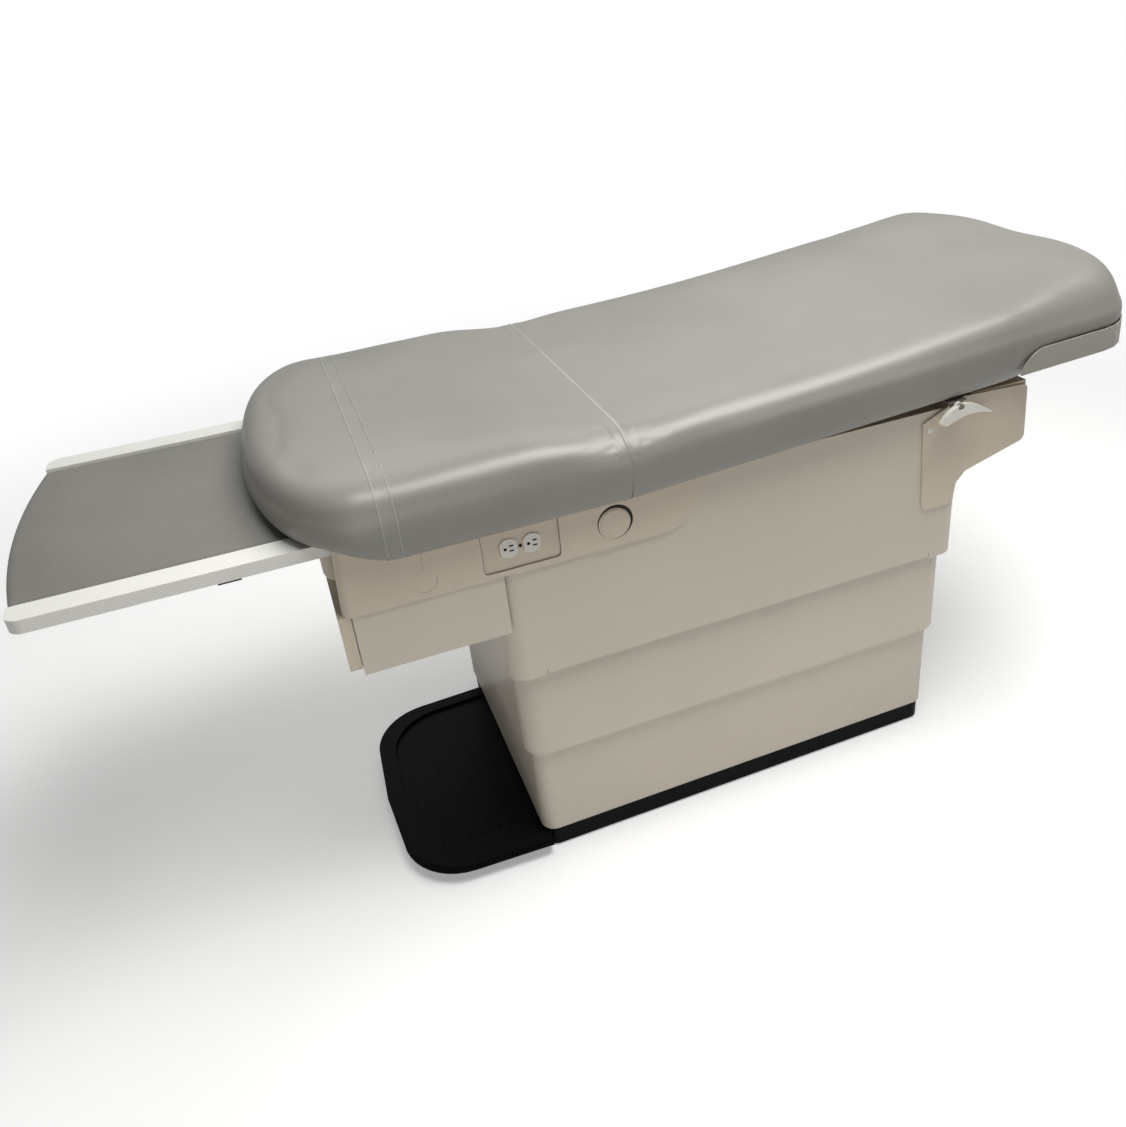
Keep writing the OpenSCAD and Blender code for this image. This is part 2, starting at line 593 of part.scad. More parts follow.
/* Drawer under the foot end */
house_y = upper_w + 1.5;
module drawer_housing() color([0.78, 0.74, 0.67]) {
    difference() {
        box([over_x + 1, -house_y, drawer_z], [-upper_l - touch, house_y, panel_z - touch]);
        box([over_x, -house_y + 3, drawer_z + 3], [-upper_l - 3, house_y - 3, panel_z - 4]);
    }
    mirror_y() box([-upper_l - 5, -house_y, drawer_z], [-upper_l + 14, -house_y + 1.2, panel_z - touch]);
    // Runners for the drawer box
    mirror_y() box([over_x + 4, -house_y + 3, drawer_z + 40], [-upper_l - 8, -house_y + 11, drawer_z + 46]);
}
box_y = house_y - 14;
module drawer_box() color([0.7, 0.7, 0.7]) difference() {
    union() {
        box([over_x - 0, -box_y, drawer_z + 8], [-upper_l - 12, box_y, panel_z - 16]);
        mirror_y() box([over_x + 4, -box_y - 9, drawer_z + 46 + touch], [-upper_l - 12, -box_y, drawer_z + 52]);
    }
    box([over_x + 3, -box_y + 3, drawer_z + 11], [-upper_l - 15, box_y - 3, panel_z]);
}
module drawer_front() color([0.8, 0.76, 0.69]) {
    r = 16;
    y = house_y - 2;
    difference() {
        translate([over_x - front_t, 0, 0]) rotate([90, 0, 90]) linear_extrude(front_t - touch) {
            translate([-y, drawer_z + 5 + r]) square([2 * y, panel_z - drawer_z - 5.4 - r]);
            translate([-y + r, drawer_z + 5]) square([2 * y - 2 * r, r + 1]);
            for (s = [-1, 1]) translate([s * (y - r), drawer_z + 5 + r]) circle(r);
        }
        // Finger groove in the lower edge
        translate([over_x - front_t + 11, 0, drawer_z + 4]) rotate([90, 0, 0]) cylinder(r = 6, h = 160, center = true);
    }
}

/* Bays above the drawer */
module bay_dividers() color([0.35, 0.34, 0.33]) {
    mirror_y() box([over_x + 18, -bay_y - 3, panel_z], [-upper_l - 6, -bay_y, deck_z]);
    mirror_y() box([over_x + 18, -bay_y - 3 - 92, panel_z], [-upper_l - 6, -bay_y, panel_z + 3]);
    box([-upper_l - 9, -bay_y, panel_z], [-upper_l - 6, bay_y, deck_z - 8]);
    mirror_y() box([-upper_l - 9, -bay_y - 95, panel_z], [-upper_l - 6, -bay_y - 2, bar_z - 4]);
    // Ledges that carry the pan's rim
    mirror_y() box([over_x + 18, -bay_y, bay_z + 52], [-upper_l - 9, -bay_y + 5, bay_z + 56 - touch]);
}
module stirrup_sleeves() color([0.3, 0.3, 0.31]) for (x = [-upper_l - 60, -upper_l + 40]) mirror_y()
    translate([0, -bar_y, bar_z + bar_s / 2]) difference() {
        box([x, -bar_s / 2 - 4, -bar_s / 2 - 4], [x + 44, bar_s / 2 + 4, deck_z - bar_z - bar_s / 2]);
        box([x - 1, -bar_s / 2 - touch, -bar_s / 2 - touch], [x + 45, bar_s / 2 + touch, bar_s / 2 + touch]);
    }
module treatment_pan() {
    y = bay_y - 8;
    x0 = over_x + 8;
    x1 = -upper_l - 14;
    color([0.82, 0.83, 0.85]) {
        difference() {
            translate([0, 0, bay_z]) linear_extrude(58) translate([(x0 + x1) / 2, 0]) round_rect((x1 - x0) / 2, y, 22);
            translate([0, 0, bay_z + 2]) linear_extrude(70) translate([(x0 + x1) / 2, 0]) round_rect((x1 - x0) / 2 - 2, y - 2, 20);
        }
        translate([0, 0, bay_z + 56]) linear_extrude(2) difference() {
            translate([(x0 + x1) / 2, 0]) round_rect((x1 - x0) / 2 + 4, y + 5, 26);
            translate([(x0 + x1) / 2, 0]) round_rect((x1 - x0) / 2 - 2, y - 2, 20);
        }
    }
    color([0.8, 0.76, 0.69]) box([over_x - 4, -y, bay_z], [over_x + 8, y, bay_z + 56]);
}
// A square bar with a rounded end tab and the folded heel cup below it
module stirrup(side) {
    y = side * bar_y;
    color([0.72, 0.73, 0.75]) box([over_x + 6, y - bar_s / 2, bar_z], [10, y + bar_s / 2, bar_z + bar_s]);
    color([0.78, 0.75, 0.69]) {
        // End tab
        slab(y - 14, 28) {
            translate([over_x - 2, bar_z + 2]) circle(20);
            translate([over_x - 2, bar_z - 18]) square([16, 45]);
            translate([over_x - 22, bar_z + 2]) square([36, 25]);
        }
        // Heel cup folded under the bar
        difference() {
            translate([over_x + 110, y, bar_z - 28]) rotate([0, 90, 0]) cylinder(r = 27, h = 110, center = true);
            translate([over_x + 110, y, bar_z - 28]) rotate([0, 90, 0]) cylinder(r = 24, h = 120, center = true);
            box([over_x + 20, y - 40, bar_z - 70], [over_x + 200, y + 40, bar_z - 26]);
        }
        box([over_x + 90, y - 6, bar_z - 8], [over_x + 130, y + 6, bar_z]);
    }
}
module stirrup_near() stirrup(-1);
module stirrup_far() stirrup(1);

/* Foot extension */
module extension_guides() color([0.6, 0.6, 0.62]) mirror_y() {
    box([over_x + 16, -rail_out - 5.5, deck_z + deck_t], [seam_x - 20, -rail_out - 2.5, board_z]);
    box([over_x + 16, -rail_out - 5.5, deck_z + deck_t], [seam_x - 20, -rail_out + 6, ext_low - touch]);
}
// Channel rail with a round outer corner at its foot end
module extension_rails() color([0.9, 0.88, 0.84]) mirror_y() {
    difference() {
        translate([0, 0, ext_low]) linear_extrude(rail_h) union() {
            translate([rail_end + rail_r, -rail_out]) square([rail_len - rail_r, rail_w]);
            translate([rail_end, -rail_out + rail_r]) square([rail_len, rail_w - rail_r]);
            translate([rail_end + rail_r, -rail_out + rail_r]) circle(rail_r);
        }
        box([rail_end + 3, -rail_out + 26, ext_low - 1], [rail_end + rail_len + 1, -rail_in - 3, ext_top - 3]);
        box([rail_end + 26, -rail_out + 3, ext_low - 1], [rail_end + rail_len + 1, -rail_in - 3, ext_top - 3]);
    }
}
module extension_tray() color([0.82, 0.8, 0.76]) {
    difference() {
        box([rail_end + 6, -rail_in + touch, ext_low], [rail_end + pad_len, rail_in - touch, ext_low + 2]);
        for (k = [0:3]) translate([rail_end + 90 + 80 * k, 0, ext_low - 1]) cylinder(r = 22, h = 4);
    }
    box([rail_end + 560, -rail_in + touch, ext_low + 2], [rail_end + 590, rail_in - touch, ext_low + 18]);
}
// Thin pad with a bowed foot edge and a soft round over
module extension_pad() {
    w = rail_in - 2.5;
    z = ext_low + 2 + touch;
    h = ext_top - z - 1;
    r = 7;
    n = 10;
    function edge(i) = concat([[rail_end + pad_len - i, w - i]],
        [for (k = [0:n]) let (y = (w - i) * cos(180 * k / n))
            [rail_end - pad_bow * (1 - pow(y / w, 2)) + i, y]], [[rail_end + pad_len - i, -w + i]]);
    lv = [[r * 0.4, 0], [0, r * 0.4], [0, h - r], [r * 0.13, h - 0.5 * r], [r * 0.5, h - 0.13 * r], [r, h], [r + 60, h + 0.8]];
    m = n + 3;
    color([0.52, 0.49, 0.45]) polyhedron(
        points = [for (l = lv) for (p = edge(l[0])) [p[0], p[1], z + l[1]]],
        faces = concat([[for (j = [0:m - 1]) j]], [[for (j = [m - 1:-1:0]) (len(lv) - 1) * m + j]],
            [for (i = [0:len(lv) - 2]) for (j = [0:m - 1]) let (k = (j + 1) % m)
                each [[i * m + j, (i + 1) * m + j, i * m + k], [i * m + k, (i + 1) * m + j, (i + 1) * m + k]]]),
        convexity = 4);
}
module extension_stops() color([0.08, 0.08, 0.08]) mirror_y()
    box([rail_end + 279, -rail_out + 8, deck_z + deck_t + 1.6], [rail_end + 313, -rail_out + 26, ext_top - 3]);

/* Seat */
seat_in = foot_x + 54;
board_r = 100;
// The board's plan with its round foot corners, g larger all round
module board_plan(g) {
    translate([seat_in + board_r, -side_in + 5 - g]) square([seam_x - 6 + g - seat_in - board_r, 2 * (side_in - 5 + g)]);
    translate([seat_in - g, -side_in + 5 + board_r]) square([board_r + 1, 2 * (side_in - 5 - board_r)]);
    for (s = [-1, 1]) translate([seat_in + board_r, s * (side_in - 5 - board_r)]) circle(board_r + g, $fn = 60);
}
module seat_board() color([0.7, 0.58, 0.4]) translate([0, 0, board_z]) linear_extrude(board_t) board_plan(0);
seat_x0 = foot_x + foot_nose;
module seat_cushion() {
    xs = concat([seam_x - 0.5, seam_x - 1.6, seam_x - 4.5, seam_x - seat_round - 0.5],
        [for (k = [1:6]) seam_x - seat_round - (seam_x - seat_round - seat_x0) * k / 6],
        [for (a = [12, 24, 36, 48, 60, 70, 79, 86]) seat_x0 - foot_nose * sin(a)]);
    loops = [for (x = xs) let (u = max(0, (seat_x0 - x) / foot_nose))
        section(end_w(u), u, foot_nose, seat_line(x), rim_z, seat_skirt(x), board_z - 1,
            0.9 + 0.1 * dome((seam_x - x) / seat_round))];
    color([0.56, 0.53, 0.49]) difference() {
        loft(xs, loops, [foot_x, 0, rim_z]);
        box([seat_in - slack, -side_in + 4, board_z - 60], [seam_x + 2, side_in - 4, board_z + 0.5]);
        translate([0, 0, board_z]) linear_extrude(board_t + touch) union() {
            board_plan(slack);
            translate([seam_x - 40, -side_in + 4]) square([44, 2 * (side_in - 4)]);
        }
    }
}
// Clear band over the foot part of the seat
strap_x = foot_x + 178;
strap_w = 25;
module paper_strap() {
    function ring(g) = let (u = 0, s = section(half_top, 0, foot_nose, seat_h, rim_z, seat_skirt(strap_x), board_z - 1),
        a = [for (i = [0:18]) s[i]], q = [for (i = [0:18]) let (t = i / 18) [s[i][0] + g * cos(180 * t), s[i][1] + g * sin(180 * t)]])
        concat([[half_top - 18 + g * 0.4, seat_skirt(strap_x) + 16 - g * 0.4]], q, [[-half_top + 18 - g * 0.4, seat_skirt(strap_x) + 16 - g * 0.4]]);
    o = ring(1.4);
    i = ring(0.4);
    color([0.85, 0.86, 0.86, 0.4]) translate([strap_x, 0, 0]) rotate([90, 0, 90]) linear_extrude(strap_w)
        polygon(concat([for (k = [1:len(o) - 2]) o[k]], [for (k = [len(i) - 2:-1:1]) i[k]]));
}

/* Backrest */
module hinge_bar() color([0.25, 0.25, 0.26]) {
    box([pivot_x - 11, -flange_y + 6, board_z - 1], [pivot_x + 9, flange_y - 6, board_z + 10]);
    mirror_y() difference() {
        union() {
            box([pivot_x - lug_r, -lug_y - lug_t, board_z + 9], [pivot_x + lug_r, -lug_y, pivot_z]);
            rod_y(pivot_x, pivot_z, lug_r, -lug_y - lug_t, -lug_y);
        }
        rod_y(pivot_x, pivot_z, pin_r + run, -lug_y - lug_t - 1, -lug_y + 1);
    }
}
module hinge_pins() color([0.75, 0.75, 0.77]) mirror_y() {
    rod_y(pivot_x, pivot_z, pin_r, -lug_y - lug_t - 2, -lug_y + touch + lug_t + 2);
    rod_y(pivot_x, pivot_z, pin_r + 2, -lug_y - lug_t - 3.4, -lug_y - lug_t - 0.6);
}
// Place children in the tilted plane of the back board, z 0 at its underside
module on_back() translate([pivot_x, 0, board_z]) rotate([0, -board_a, 0]) children();
back_in = 16;
back_board_l = head_x - pivot_x - 66;
module back_board() color([0.7, 0.58, 0.4]) on_back()
    difference() {
        box([back_in, -side_in + 5, 0], [back_board_l - 90, side_in - 5, board_t]);
        mirror_y() box([back_in - 1, -lug_y - 2, -1], [back_in + 46, -lug_y + lug_t + 2, board_t + 1]);
        // Room for the end of the gas spring
        box([50, gas_y - 9, -1], [98, gas_y + 9, board_t + 1]);
    }
module back_frame() color([0.22, 0.22, 0.23]) {
    on_back() {
        difference() {
            union() {
                mirror_y() box([back_in + 4, -lug_y + touch + 1, -22], [back_board_l - 230, -lug_y + 27, 0]);
                for (x = [360, back_board_l - 256]) box([x, -lug_y + 20, -22], [x + 26, lug_y - 20, -1]);
                box([back_in + 4, -lug_y + 20, -22], [back_in + 30, gas_y - 14, -1]);
                box([back_in + 4, gas_y + 14, -22], [back_in + 30, lug_y - 20, -1]);
            }
            mirror_y() box([back_in + 50, -lug_y + touch + 3, -20], [back_board_l - 229, -lug_y + 25, -2]);
        }
        // Cheeks for the gas spring, joined to the cross members
        for (s = [-1, 1]) box([back_in + 4, gas_y + s * 12 - 2, -28], [130, gas_y + s * 12 + 2, 0]);
        for (s = [-1, 1]) translate([84, gas_y + s * 8, -18]) rotate([90, 0, 0]) cylinder(r = 4, h = 5, center = true);
    }
    // Hinge lugs beside those of the seat
    mirror_y() difference() {
        union() {
            rod_y(pivot_x, pivot_z, lug_r, -lug_y + touch, -lug_y + touch + lug_t);
            slab(-lug_y + touch, lug_t) polygon([[pivot_x - 3, pivot_z - lug_r + 1], [pivot_x + back_in + 5, board_z - 18],
                [pivot_x + back_in + 40, board_z - 18], [pivot_x + back_in + 40, board_z], [pivot_x + lug_r, pivot_z]]);
        }
        rod_y(pivot_x, pivot_z, pin_r, -lug_y - lug_t - 1, -lug_y + 2 * lug_t);
    }
}
back_x0 = head_x - head_nose;
head_lap = 4.5;
head_tip = head_nose - head_lap;
function head_in(x) = head_lap / half_top * ease(x, head_x - 365, head_x - 310);
module back_cushion() {
    xs = concat([for (a = [0, 24, 46, 68, 90]) pivot_x - pivot_r * cos(a)],
        [for (f = [50, 120, 220, 330, 440, 550, 640, 710, 760, 800, 840, 885, 912, 939])
            seam_x + (back_x0 - seam_x) * f / 939],
        [for (a = [12, 24, 36, 48, 60, 70, 79, 86]) back_x0 + head_tip * sin(a)]);
    loops = [for (x = xs) let (u = max(0, (x - back_x0) / head_tip), s = back_line(x),
            e = x < pivot_x ? (pivot_z - back_rim(x)) / (s - back_rim(x)) : 1,
            q = e + (1 - e) * dome((x - seam_x) / pivot_r))
        [for (p = section(end_w(u), u, head_tip, s, back_rim(x), back_skirt(x), back_floor(x), q))
            let (outside = u > 0 ? 1 : min(1, max(0, (abs(p[0]) - side_in) / 24)))
            [p[0] * (1 - outside * head_in(x)), p[1]]]];
    color([0.56, 0.53, 0.49]) difference() {
        loft(xs, loops, [head_x - head_lap, 0, back_rim(head_x)]);
        on_back() box([-120, -side_in + 4, -70], [back_board_l - 88, side_in - 4, board_t + touch]);
        box([seam_x - 2, -side_in + 6, board_z - 60], [pivot_x + 16, side_in - 6, board_z + 17]);
        mirror_y() slab(-lug_y - lug_t - 5, 2 * lug_t + 9) polygon([[seam_x - 2, board_z + 6], [pivot_x + 62, board_z + 6],
            [pivot_x + 62, board_z + 18], [pivot_x + lug_r + 4, pivot_z + 3], [pivot_x + lug_r + 4, pivot_z + lug_r + 1],
            [seam_x - 2, pivot_z + lug_r + 1]]);
    }
}

/* Paper pan: a tub round the head end whose lip stands outside the cushion's lower edge */
pan_w = half_top - 44;
pan_d = 46;
pan_side = 18;
pan_lip = 25;
pan_t = 2.5;
pan_x0 = head_x - 336;
pan_floor_x = head_x - 290;
// Plan of the pan, i inside its outer face, from its foot end x0
function pan_edge(i, x0) = concat([[x0, half_top - i]],
    [for (k = [0:20]) let (a = 90 - 9 * k, c = pow(abs(cos(a)), 2 / nose_n), s = pow(abs(sin(a)), 2 / nose_n))
        [back_x0 + (head_nose - i) * c, (half_top - i) * (a < 0 ? -s : s)]],
    [[x0, -half_top + i]]);
module pan_level(z, h, i, x0) translate([0, 0, z]) linear_extrude(h) polygon(pan_edge(i, x0));
module paper_pan() color([0.83, 0.8, 0.74]) on_back() translate([0.4 - pivot_x, 0, 0]) {
    difference() {
        union() {
            pan_level(-pan_side, pan_side + pan_lip, 0, pan_x0);
            hull() {
                pan_level(-pan_side, 0.5, 0, pan_floor_x);
                pan_level(-pan_d, 0.5, 50, pan_floor_x + 20);
            }
        }
        pan_level(-pan_side - 0.5, pan_side + pan_lip + 1, pan_t, pan_x0 - 5);
        hull() {
            pan_level(-pan_side, 0.5, pan_t, pan_floor_x + pan_t);
            pan_level(-pan_d + pan_t, 0.5, 52, pan_floor_x + 20 + pan_t);
        }
        // The side walls sweep up from the floor at their foot end
        translate([0, half_top + 5, 0]) rotate([90, 0, 0]) linear_extrude(2 * half_top + 10)
            polygon(concat([[pan_x0 - 2, pan_lip + 5], [pan_x0 - 2, -pan_side + 1]],
                [for (k = [0:12]) [pan_x0 + 52 * k / 12, 1 - pan_side + (pan_side + pan_lip - 1) * pow(sin(7.5 * k), 0.62)]],
                [[pan_x0 + 52, pan_lip + 5]]));
    }
    // Bosses under the board
    mirror_y() for (x = [pan_x0 + 76, pan_x0 + 150]) box([x, -300, 1 - pan_d], [x + 16, -284, -touch]);
}
module paper_rod() color([0.75, 0.75, 0.76]) on_back() translate([head_x - 159 - pivot_x, 0, -pan_d + 20]) {
    rod_y(0, 0, 5, -pan_w + 40, pan_w - 40);
    for (s = [-1, 1]) difference() {
        translate([0, s * (pan_w - 42), 0]) box([-9, -2, -17.5], [9, 2, 9]);
        translate([0, s * (pan_w - 42), 0]) rod_y(0, 0, 5 - run / 5, -3, 3);
    }
}

/* Gas spring between the upper body and the back frame */
gas_body = gas_len - 32;
module gas_local() translate([gas_a[0], gas_y, gas_a[1]]) rotate([0, gas_tilt, 0]) children();
module gas_cylinder() color([0.1, 0.1, 0.1]) gas_local() {
    difference() {
        union() {
            translate([0, 0, 14]) cylinder(r = 11, h = gas_body);
            rod_y(0, 0, 9, -5, 5);
            box([-6, -5, 0], [6, 5, 16]);
        }
        rod_y(0, 0, 4 + run, -6, 6);
        translate([0, 0, 28]) cylinder(r = 4 + run, h = gas_body);
        translate([0, 0, 28]) cylinder(r = 8, h = gas_body - 24);
    }
}
module gas_rod() color([0.8, 0.8, 0.82]) gas_local() {
    translate([0, 0, 30]) cylinder(r = 4, h = gas_len - 38);
    translate([0, 0, 30]) cylinder(r = 7, h = 5);
    difference() {
        union() {
            rod_y(0, gas_len, 9, -5, 5);
            box([-5, -5, gas_len - 14], [5, 5, gas_len - 6]);
        }
        rod_y(0, gas_len, 4, -6, 6);
    }
}
module gas_bracket() color([0.25, 0.25, 0.26]) translate([0, gas_y, 0]) {
    for (s = [-1, 1]) box([gas_a[0] - 16, s * 16 - 2, gas_a[1] - 14], [gas_a[0] + 16, s * 16 + 2, deck_z]);
    rod_y(gas_a[0], gas_a[1], 4, -18, 18);
    for (s = [-1, 1]) rod_y(gas_a[0], gas_a[1], 7, s * 9.7 - 4.3, s * 9.7 + 4.3);
}

/* Release levers under the back */
lever_x = 403;
lever_y = half_top - 12.5;
lever_z = back_skirt(lever_x) - 12;
module lever_brackets() color([0.3, 0.28, 0.26]) mirror_y() {
    // Plate down inside the skirt, foot outwards and an ear for the pivot
    box([lever_x - 20, -side_in + 6, lever_z + 6], [lever_x + 20, -side_in + 9, back_floor(lever_x - 20)]);
    box([lever_x - 20, -lever_y - 1, lever_z + 6], [lever_x + 20, -side_in + 9, lever_z + 8.5]);
    difference() {
        box([lever_x - 13, -lever_y - 1, lever_z - 9], [lever_x + 13, -lever_y + 2, lever_z + 7]);
        rod_y(lever_x, lever_z, 3, -lever_y - 2, -lever_y + 3);
    }
    rod_y(lever_x, lever_z, 3, -lever_y - 9, -lever_y + 2);
    rod_y(lever_x, lever_z, 5.5, -lever_y - 11, -lever_y - 8.4);
}
// Crescent handle: two arcs that meet at the tip, with a broad foot end
function crescent() = let (l = handle_l)
    concat([for (k = [0:14]) let (t = k / 14) [l * t, 2 + 29 * sin(180 * pow(t, 0.75))]],
           [for (k = [13:-1:0]) let (t = k / 14) [l * t + 13 * (1 - t), 11 * sin(180 * pow(t, 0.95)) - 5 * (1 - t)]]);
module release_lever() {
    color([0.85, 0.83, 0.78]) {
        difference() {
            slab(-lever_y - 8, 6.6) translate([lever_x, lever_z]) circle(8);
            rod_y(lever_x, lever_z, 3 + run, -lever_y - 9, -lever_y);
        }
        difference() {
            for (k = [0:3]) slab(-lever_y - 14 + 2.2 * k, 2.2)
                translate([lever_x - 40, lever_z - 27 + 1.2 * abs(k - 1.5)]) polygon(crescent());
            rod_y(lever_x, lever_z, 3 + run, -lever_y - 15, -lever_y);
            rod_y(lever_x, lever_z, 6.5, -lever_y - 15, -lever_y - 8);
        }
    }
}
module release_lever_near() release_lever();
module release_lever_far() mirror([0, 1, 0]) release_lever();

base_frame();
levelling_feet();
base_skirt();
foot_platform();
shroud_lower_near();
shroud_lower_far();
power_inlet();
column_lower();
column_mid();
column_upper();
column_glides_mid();
column_glides_upper();
mid_hangers();
lift_motor();
shroud_mid_near();
shroud_mid_far();
shroud_upper_near();
shroud_upper_far();
top_frame();
head_cover();
rest_bumpers();
side_panel_near();
side_panel_far();
outlet_plate();
duplex_outlet();
blanking_plug();
push_cap();
seam_screws_lower();
seam_screws_mid();
seam_screws_upper();
drawer_housing();
drawer_box();
drawer_front();
bay_dividers();
stirrup_sleeves();
treatment_pan();
stirrup_near();
stirrup_far();
extension_guides();
extension_rails();
extension_tray();
extension_pad();
extension_stops();
seat_board();
seat_cushion();
paper_strap();
hinge_bar();
hinge_pins();
back_board();
back_frame();
back_cushion();
paper_pan();
paper_rod();
gas_cylinder();
gas_rod();
gas_bracket();
lever_brackets();
release_lever_near();
release_lever_far();
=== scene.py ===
"""Finish of a powered examination table: upholstery, trim, materials and studio, laid out as an add-on."""

import json
import math
from dataclasses import dataclass
from typing import Callable

import bmesh
import bpy
import numpy as np
from mathutils import Matrix, Vector
from mathutils.bvhtree import BVHTree


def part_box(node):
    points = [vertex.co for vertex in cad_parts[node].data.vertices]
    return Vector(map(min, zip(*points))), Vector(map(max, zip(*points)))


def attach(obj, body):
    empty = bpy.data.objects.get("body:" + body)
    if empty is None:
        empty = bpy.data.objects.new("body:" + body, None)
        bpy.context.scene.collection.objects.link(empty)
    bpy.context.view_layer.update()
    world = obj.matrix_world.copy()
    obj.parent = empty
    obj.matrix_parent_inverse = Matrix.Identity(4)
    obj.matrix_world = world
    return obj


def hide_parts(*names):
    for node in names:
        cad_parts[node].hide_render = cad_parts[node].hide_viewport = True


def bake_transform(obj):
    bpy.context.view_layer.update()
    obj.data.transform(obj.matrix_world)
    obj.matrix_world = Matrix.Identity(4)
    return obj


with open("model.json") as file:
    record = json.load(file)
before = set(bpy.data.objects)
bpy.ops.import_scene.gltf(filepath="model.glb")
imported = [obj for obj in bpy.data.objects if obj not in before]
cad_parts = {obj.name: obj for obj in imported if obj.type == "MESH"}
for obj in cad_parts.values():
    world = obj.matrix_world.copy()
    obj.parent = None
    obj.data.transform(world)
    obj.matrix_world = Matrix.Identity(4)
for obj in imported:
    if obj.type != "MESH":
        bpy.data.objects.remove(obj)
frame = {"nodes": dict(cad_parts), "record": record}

bl_info = {
    "name": "Examination Table Finish",
    "version": (1, 0, 0),
    "blender": (4, 5, 0),
    "location": "View3D > Sidebar > Exam Table",
    "description": "Upholstery, trim, finishes and studio for the examination table",
    "category": "Object",
}

# Boxes of the frame's nodes that the pieces are built on; all lengths are metres
SEAT_LO, SEAT_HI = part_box("seat_cushion")
BACK_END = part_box("back_cushion")[1].x
SEAT_BOARD_LO, SEAT_BOARD_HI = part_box("seat_board")
BACK_BOARD_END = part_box("back_board")[1].x
PAD_LO, PAD_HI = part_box("extension_pad")
BAND_LO, BAND_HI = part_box("paper_strap")
PLATFORM_LO, PLATFORM_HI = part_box("foot_platform")
COVER_LO, COVER_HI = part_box("head_cover")
PANEL_LO, PANEL_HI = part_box("side_panel_near")
OUTLET_LO, OUTLET_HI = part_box("duplex_outlet")
PLATE_LO, PLATE_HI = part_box("outlet_plate")
CAP_LO, CAP_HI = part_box("push_cap")
TAB_LO, TAB_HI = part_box("stirrup_near")

# Stations along X: the seam between seat and back, the hinge, and both ends
SEAM = SEAT_HI.x + 0.0005
SEAM_PRESS = 0.0003  # each cover presses this far past the seam
HINGE = 0.016  # radius of the fold over the hinge
PIVOT_X = SEAM + HINGE
FOOT = SEAT_LO.x
HEAD_LAP = 0.0045  # the head end is drawn in by this, in length and on each side
HEAD = BACK_END + HEAD_LAP

# Levels: boards, the cushions' widest line (rim), lower edge (skirt) and top
BOARD = SEAT_BOARD_LO.z
BOARD_TOP = SEAT_BOARD_HI.z
RIM = BOARD + 0.026
SKIRT = BOARD - 0.037
SEAT_TOP = SEAT_HI.z
SEAM_TOP = SEAT_TOP - 0.011
PIVOT_Z = SEAM_TOP - HINGE

HALF_WIDTH = SEAT_HI.y
RECESS = SEAT_BOARD_HI.y + 0.001
LOW_ROLL = 0.022  # radius of the rolled lower edge
SLOPE = 0.048  # rise of the back board along X
BLUNTNESS = 2.2  # power of the superellipse that rounds the ends in plan
SEED = 3
WHITE = (1.0, 1.0, 1.0, 1.0)


# --- settings ---


def length(name, description, default, low, high):
    return bpy.props.FloatProperty(
        name=name, description=description, default=default, min=low, max=high, unit="LENGTH"
    )


def power(name, description, default, high=1000.0):
    return bpy.props.FloatProperty(
        name=name, description=description, default=default, min=0.0, max=high, unit="POWER"
    )


def number(name, description, default, high):
    return bpy.props.FloatProperty(name=name, description=description, default=default, min=0.0, max=high)


def colour(name, description, default):
    return bpy.props.FloatVectorProperty(
        name=name, description=description, subtype="COLOR", default=default, min=0.0, max=1.0
    )


class UpholsterySettings(bpy.types.PropertyGroup):
    """Shape of the padded parts."""

    roll: length("Edge roll", "Radius of the rolled upper edge of the cushions", 0.072, 0.04, 0.1)
    crown: length("Crown", "Height of the cushions' middle over their sides", 0.003, 0.0, 0.015)
    swell: length("Swell limit", "How far the stuffing may push the cover out", 0.006, 0.0, 0.016)
    pressure: number("Stuffing pressure", "Pressure of the foam on the cover while it settles", 4.0, 12.0)
    seat_nose: length("Foot rounding", "Length of the rounded foot end of the seat", 0.158, 0.1, 0.2)
    back_nose: length("Head rounding", "Length of the rounded head end of the back", 0.1455, 0.1, 0.2)


class FinishSettings(bpy.types.PropertyGroup):
    """Colours of the finishes."""

    vinyl: colour("Vinyl", "Colour of the upholstery vinyl", (0.248, 0.240, 0.214))
    shroud: colour("Shroud paint", "Colour of the painted shrouds", (0.66, 0.60, 0.51))
    plastic: colour("Cream plastic", "Colour of the moulded panels", (0.67, 0.59, 0.475))
    rail: colour("Rail white", "Colour of the extension's rails", (0.82, 0.81, 0.77))


class StudioSettings(bpy.types.PropertyGroup):
    """Lights and backdrop."""

    key_power: power("Overhead light", "Power of the large soft light above the table", 92.0)
    rear_power: power("Rear light", "Power of the soft light high behind the table", 34.0)
    front_power: power("Front light", "Power of the low soft light in front of the table", 14.0, 500.0)
    ambient: number("Ambient", "Strength of the even light from all round", 0.08, 2.0)
    floor_lift: number("Floor white", "How much paler the floor looks than it is lit", 0.30, 1.0)


def settings(group):
    """The add-on's settings of one group: upholstery, finish or studio."""
    return getattr(bpy.context.scene, "table_" + group)


# --- node helpers ---


class Value:
    """A socket of a node tree. Arithmetic on it adds Math nodes."""

    def __init__(self, graph, socket):
        self.graph = graph
        self.socket = socket

    def math(self, operation, *terms, clamp=False):
        return self.graph.node(
            "ShaderNodeMath", {"operation": operation, "use_clamp": clamp}, dict(enumerate(terms))
        )

    def __abs__(self):
        return self.math("ABSOLUTE", self)

    def sine(self):
        return self.math("SINE", self)

    def most(self, other):
        return self.math("MAXIMUM", self, other)

    def held(self):
        """The value kept between 0 and 1."""
        return self.math("ADD", self, 0.0, clamp=True)

    def step(self, start, end):
        """A smooth step from 0 to 1 as the value goes from start to end."""
        return self.graph.node(
            "ShaderNodeMapRange",
            {"interpolation_type": "SMOOTHSTEP"},
            {"Value": self, "From Min": start, "From Max": end},
            "Result",
        )


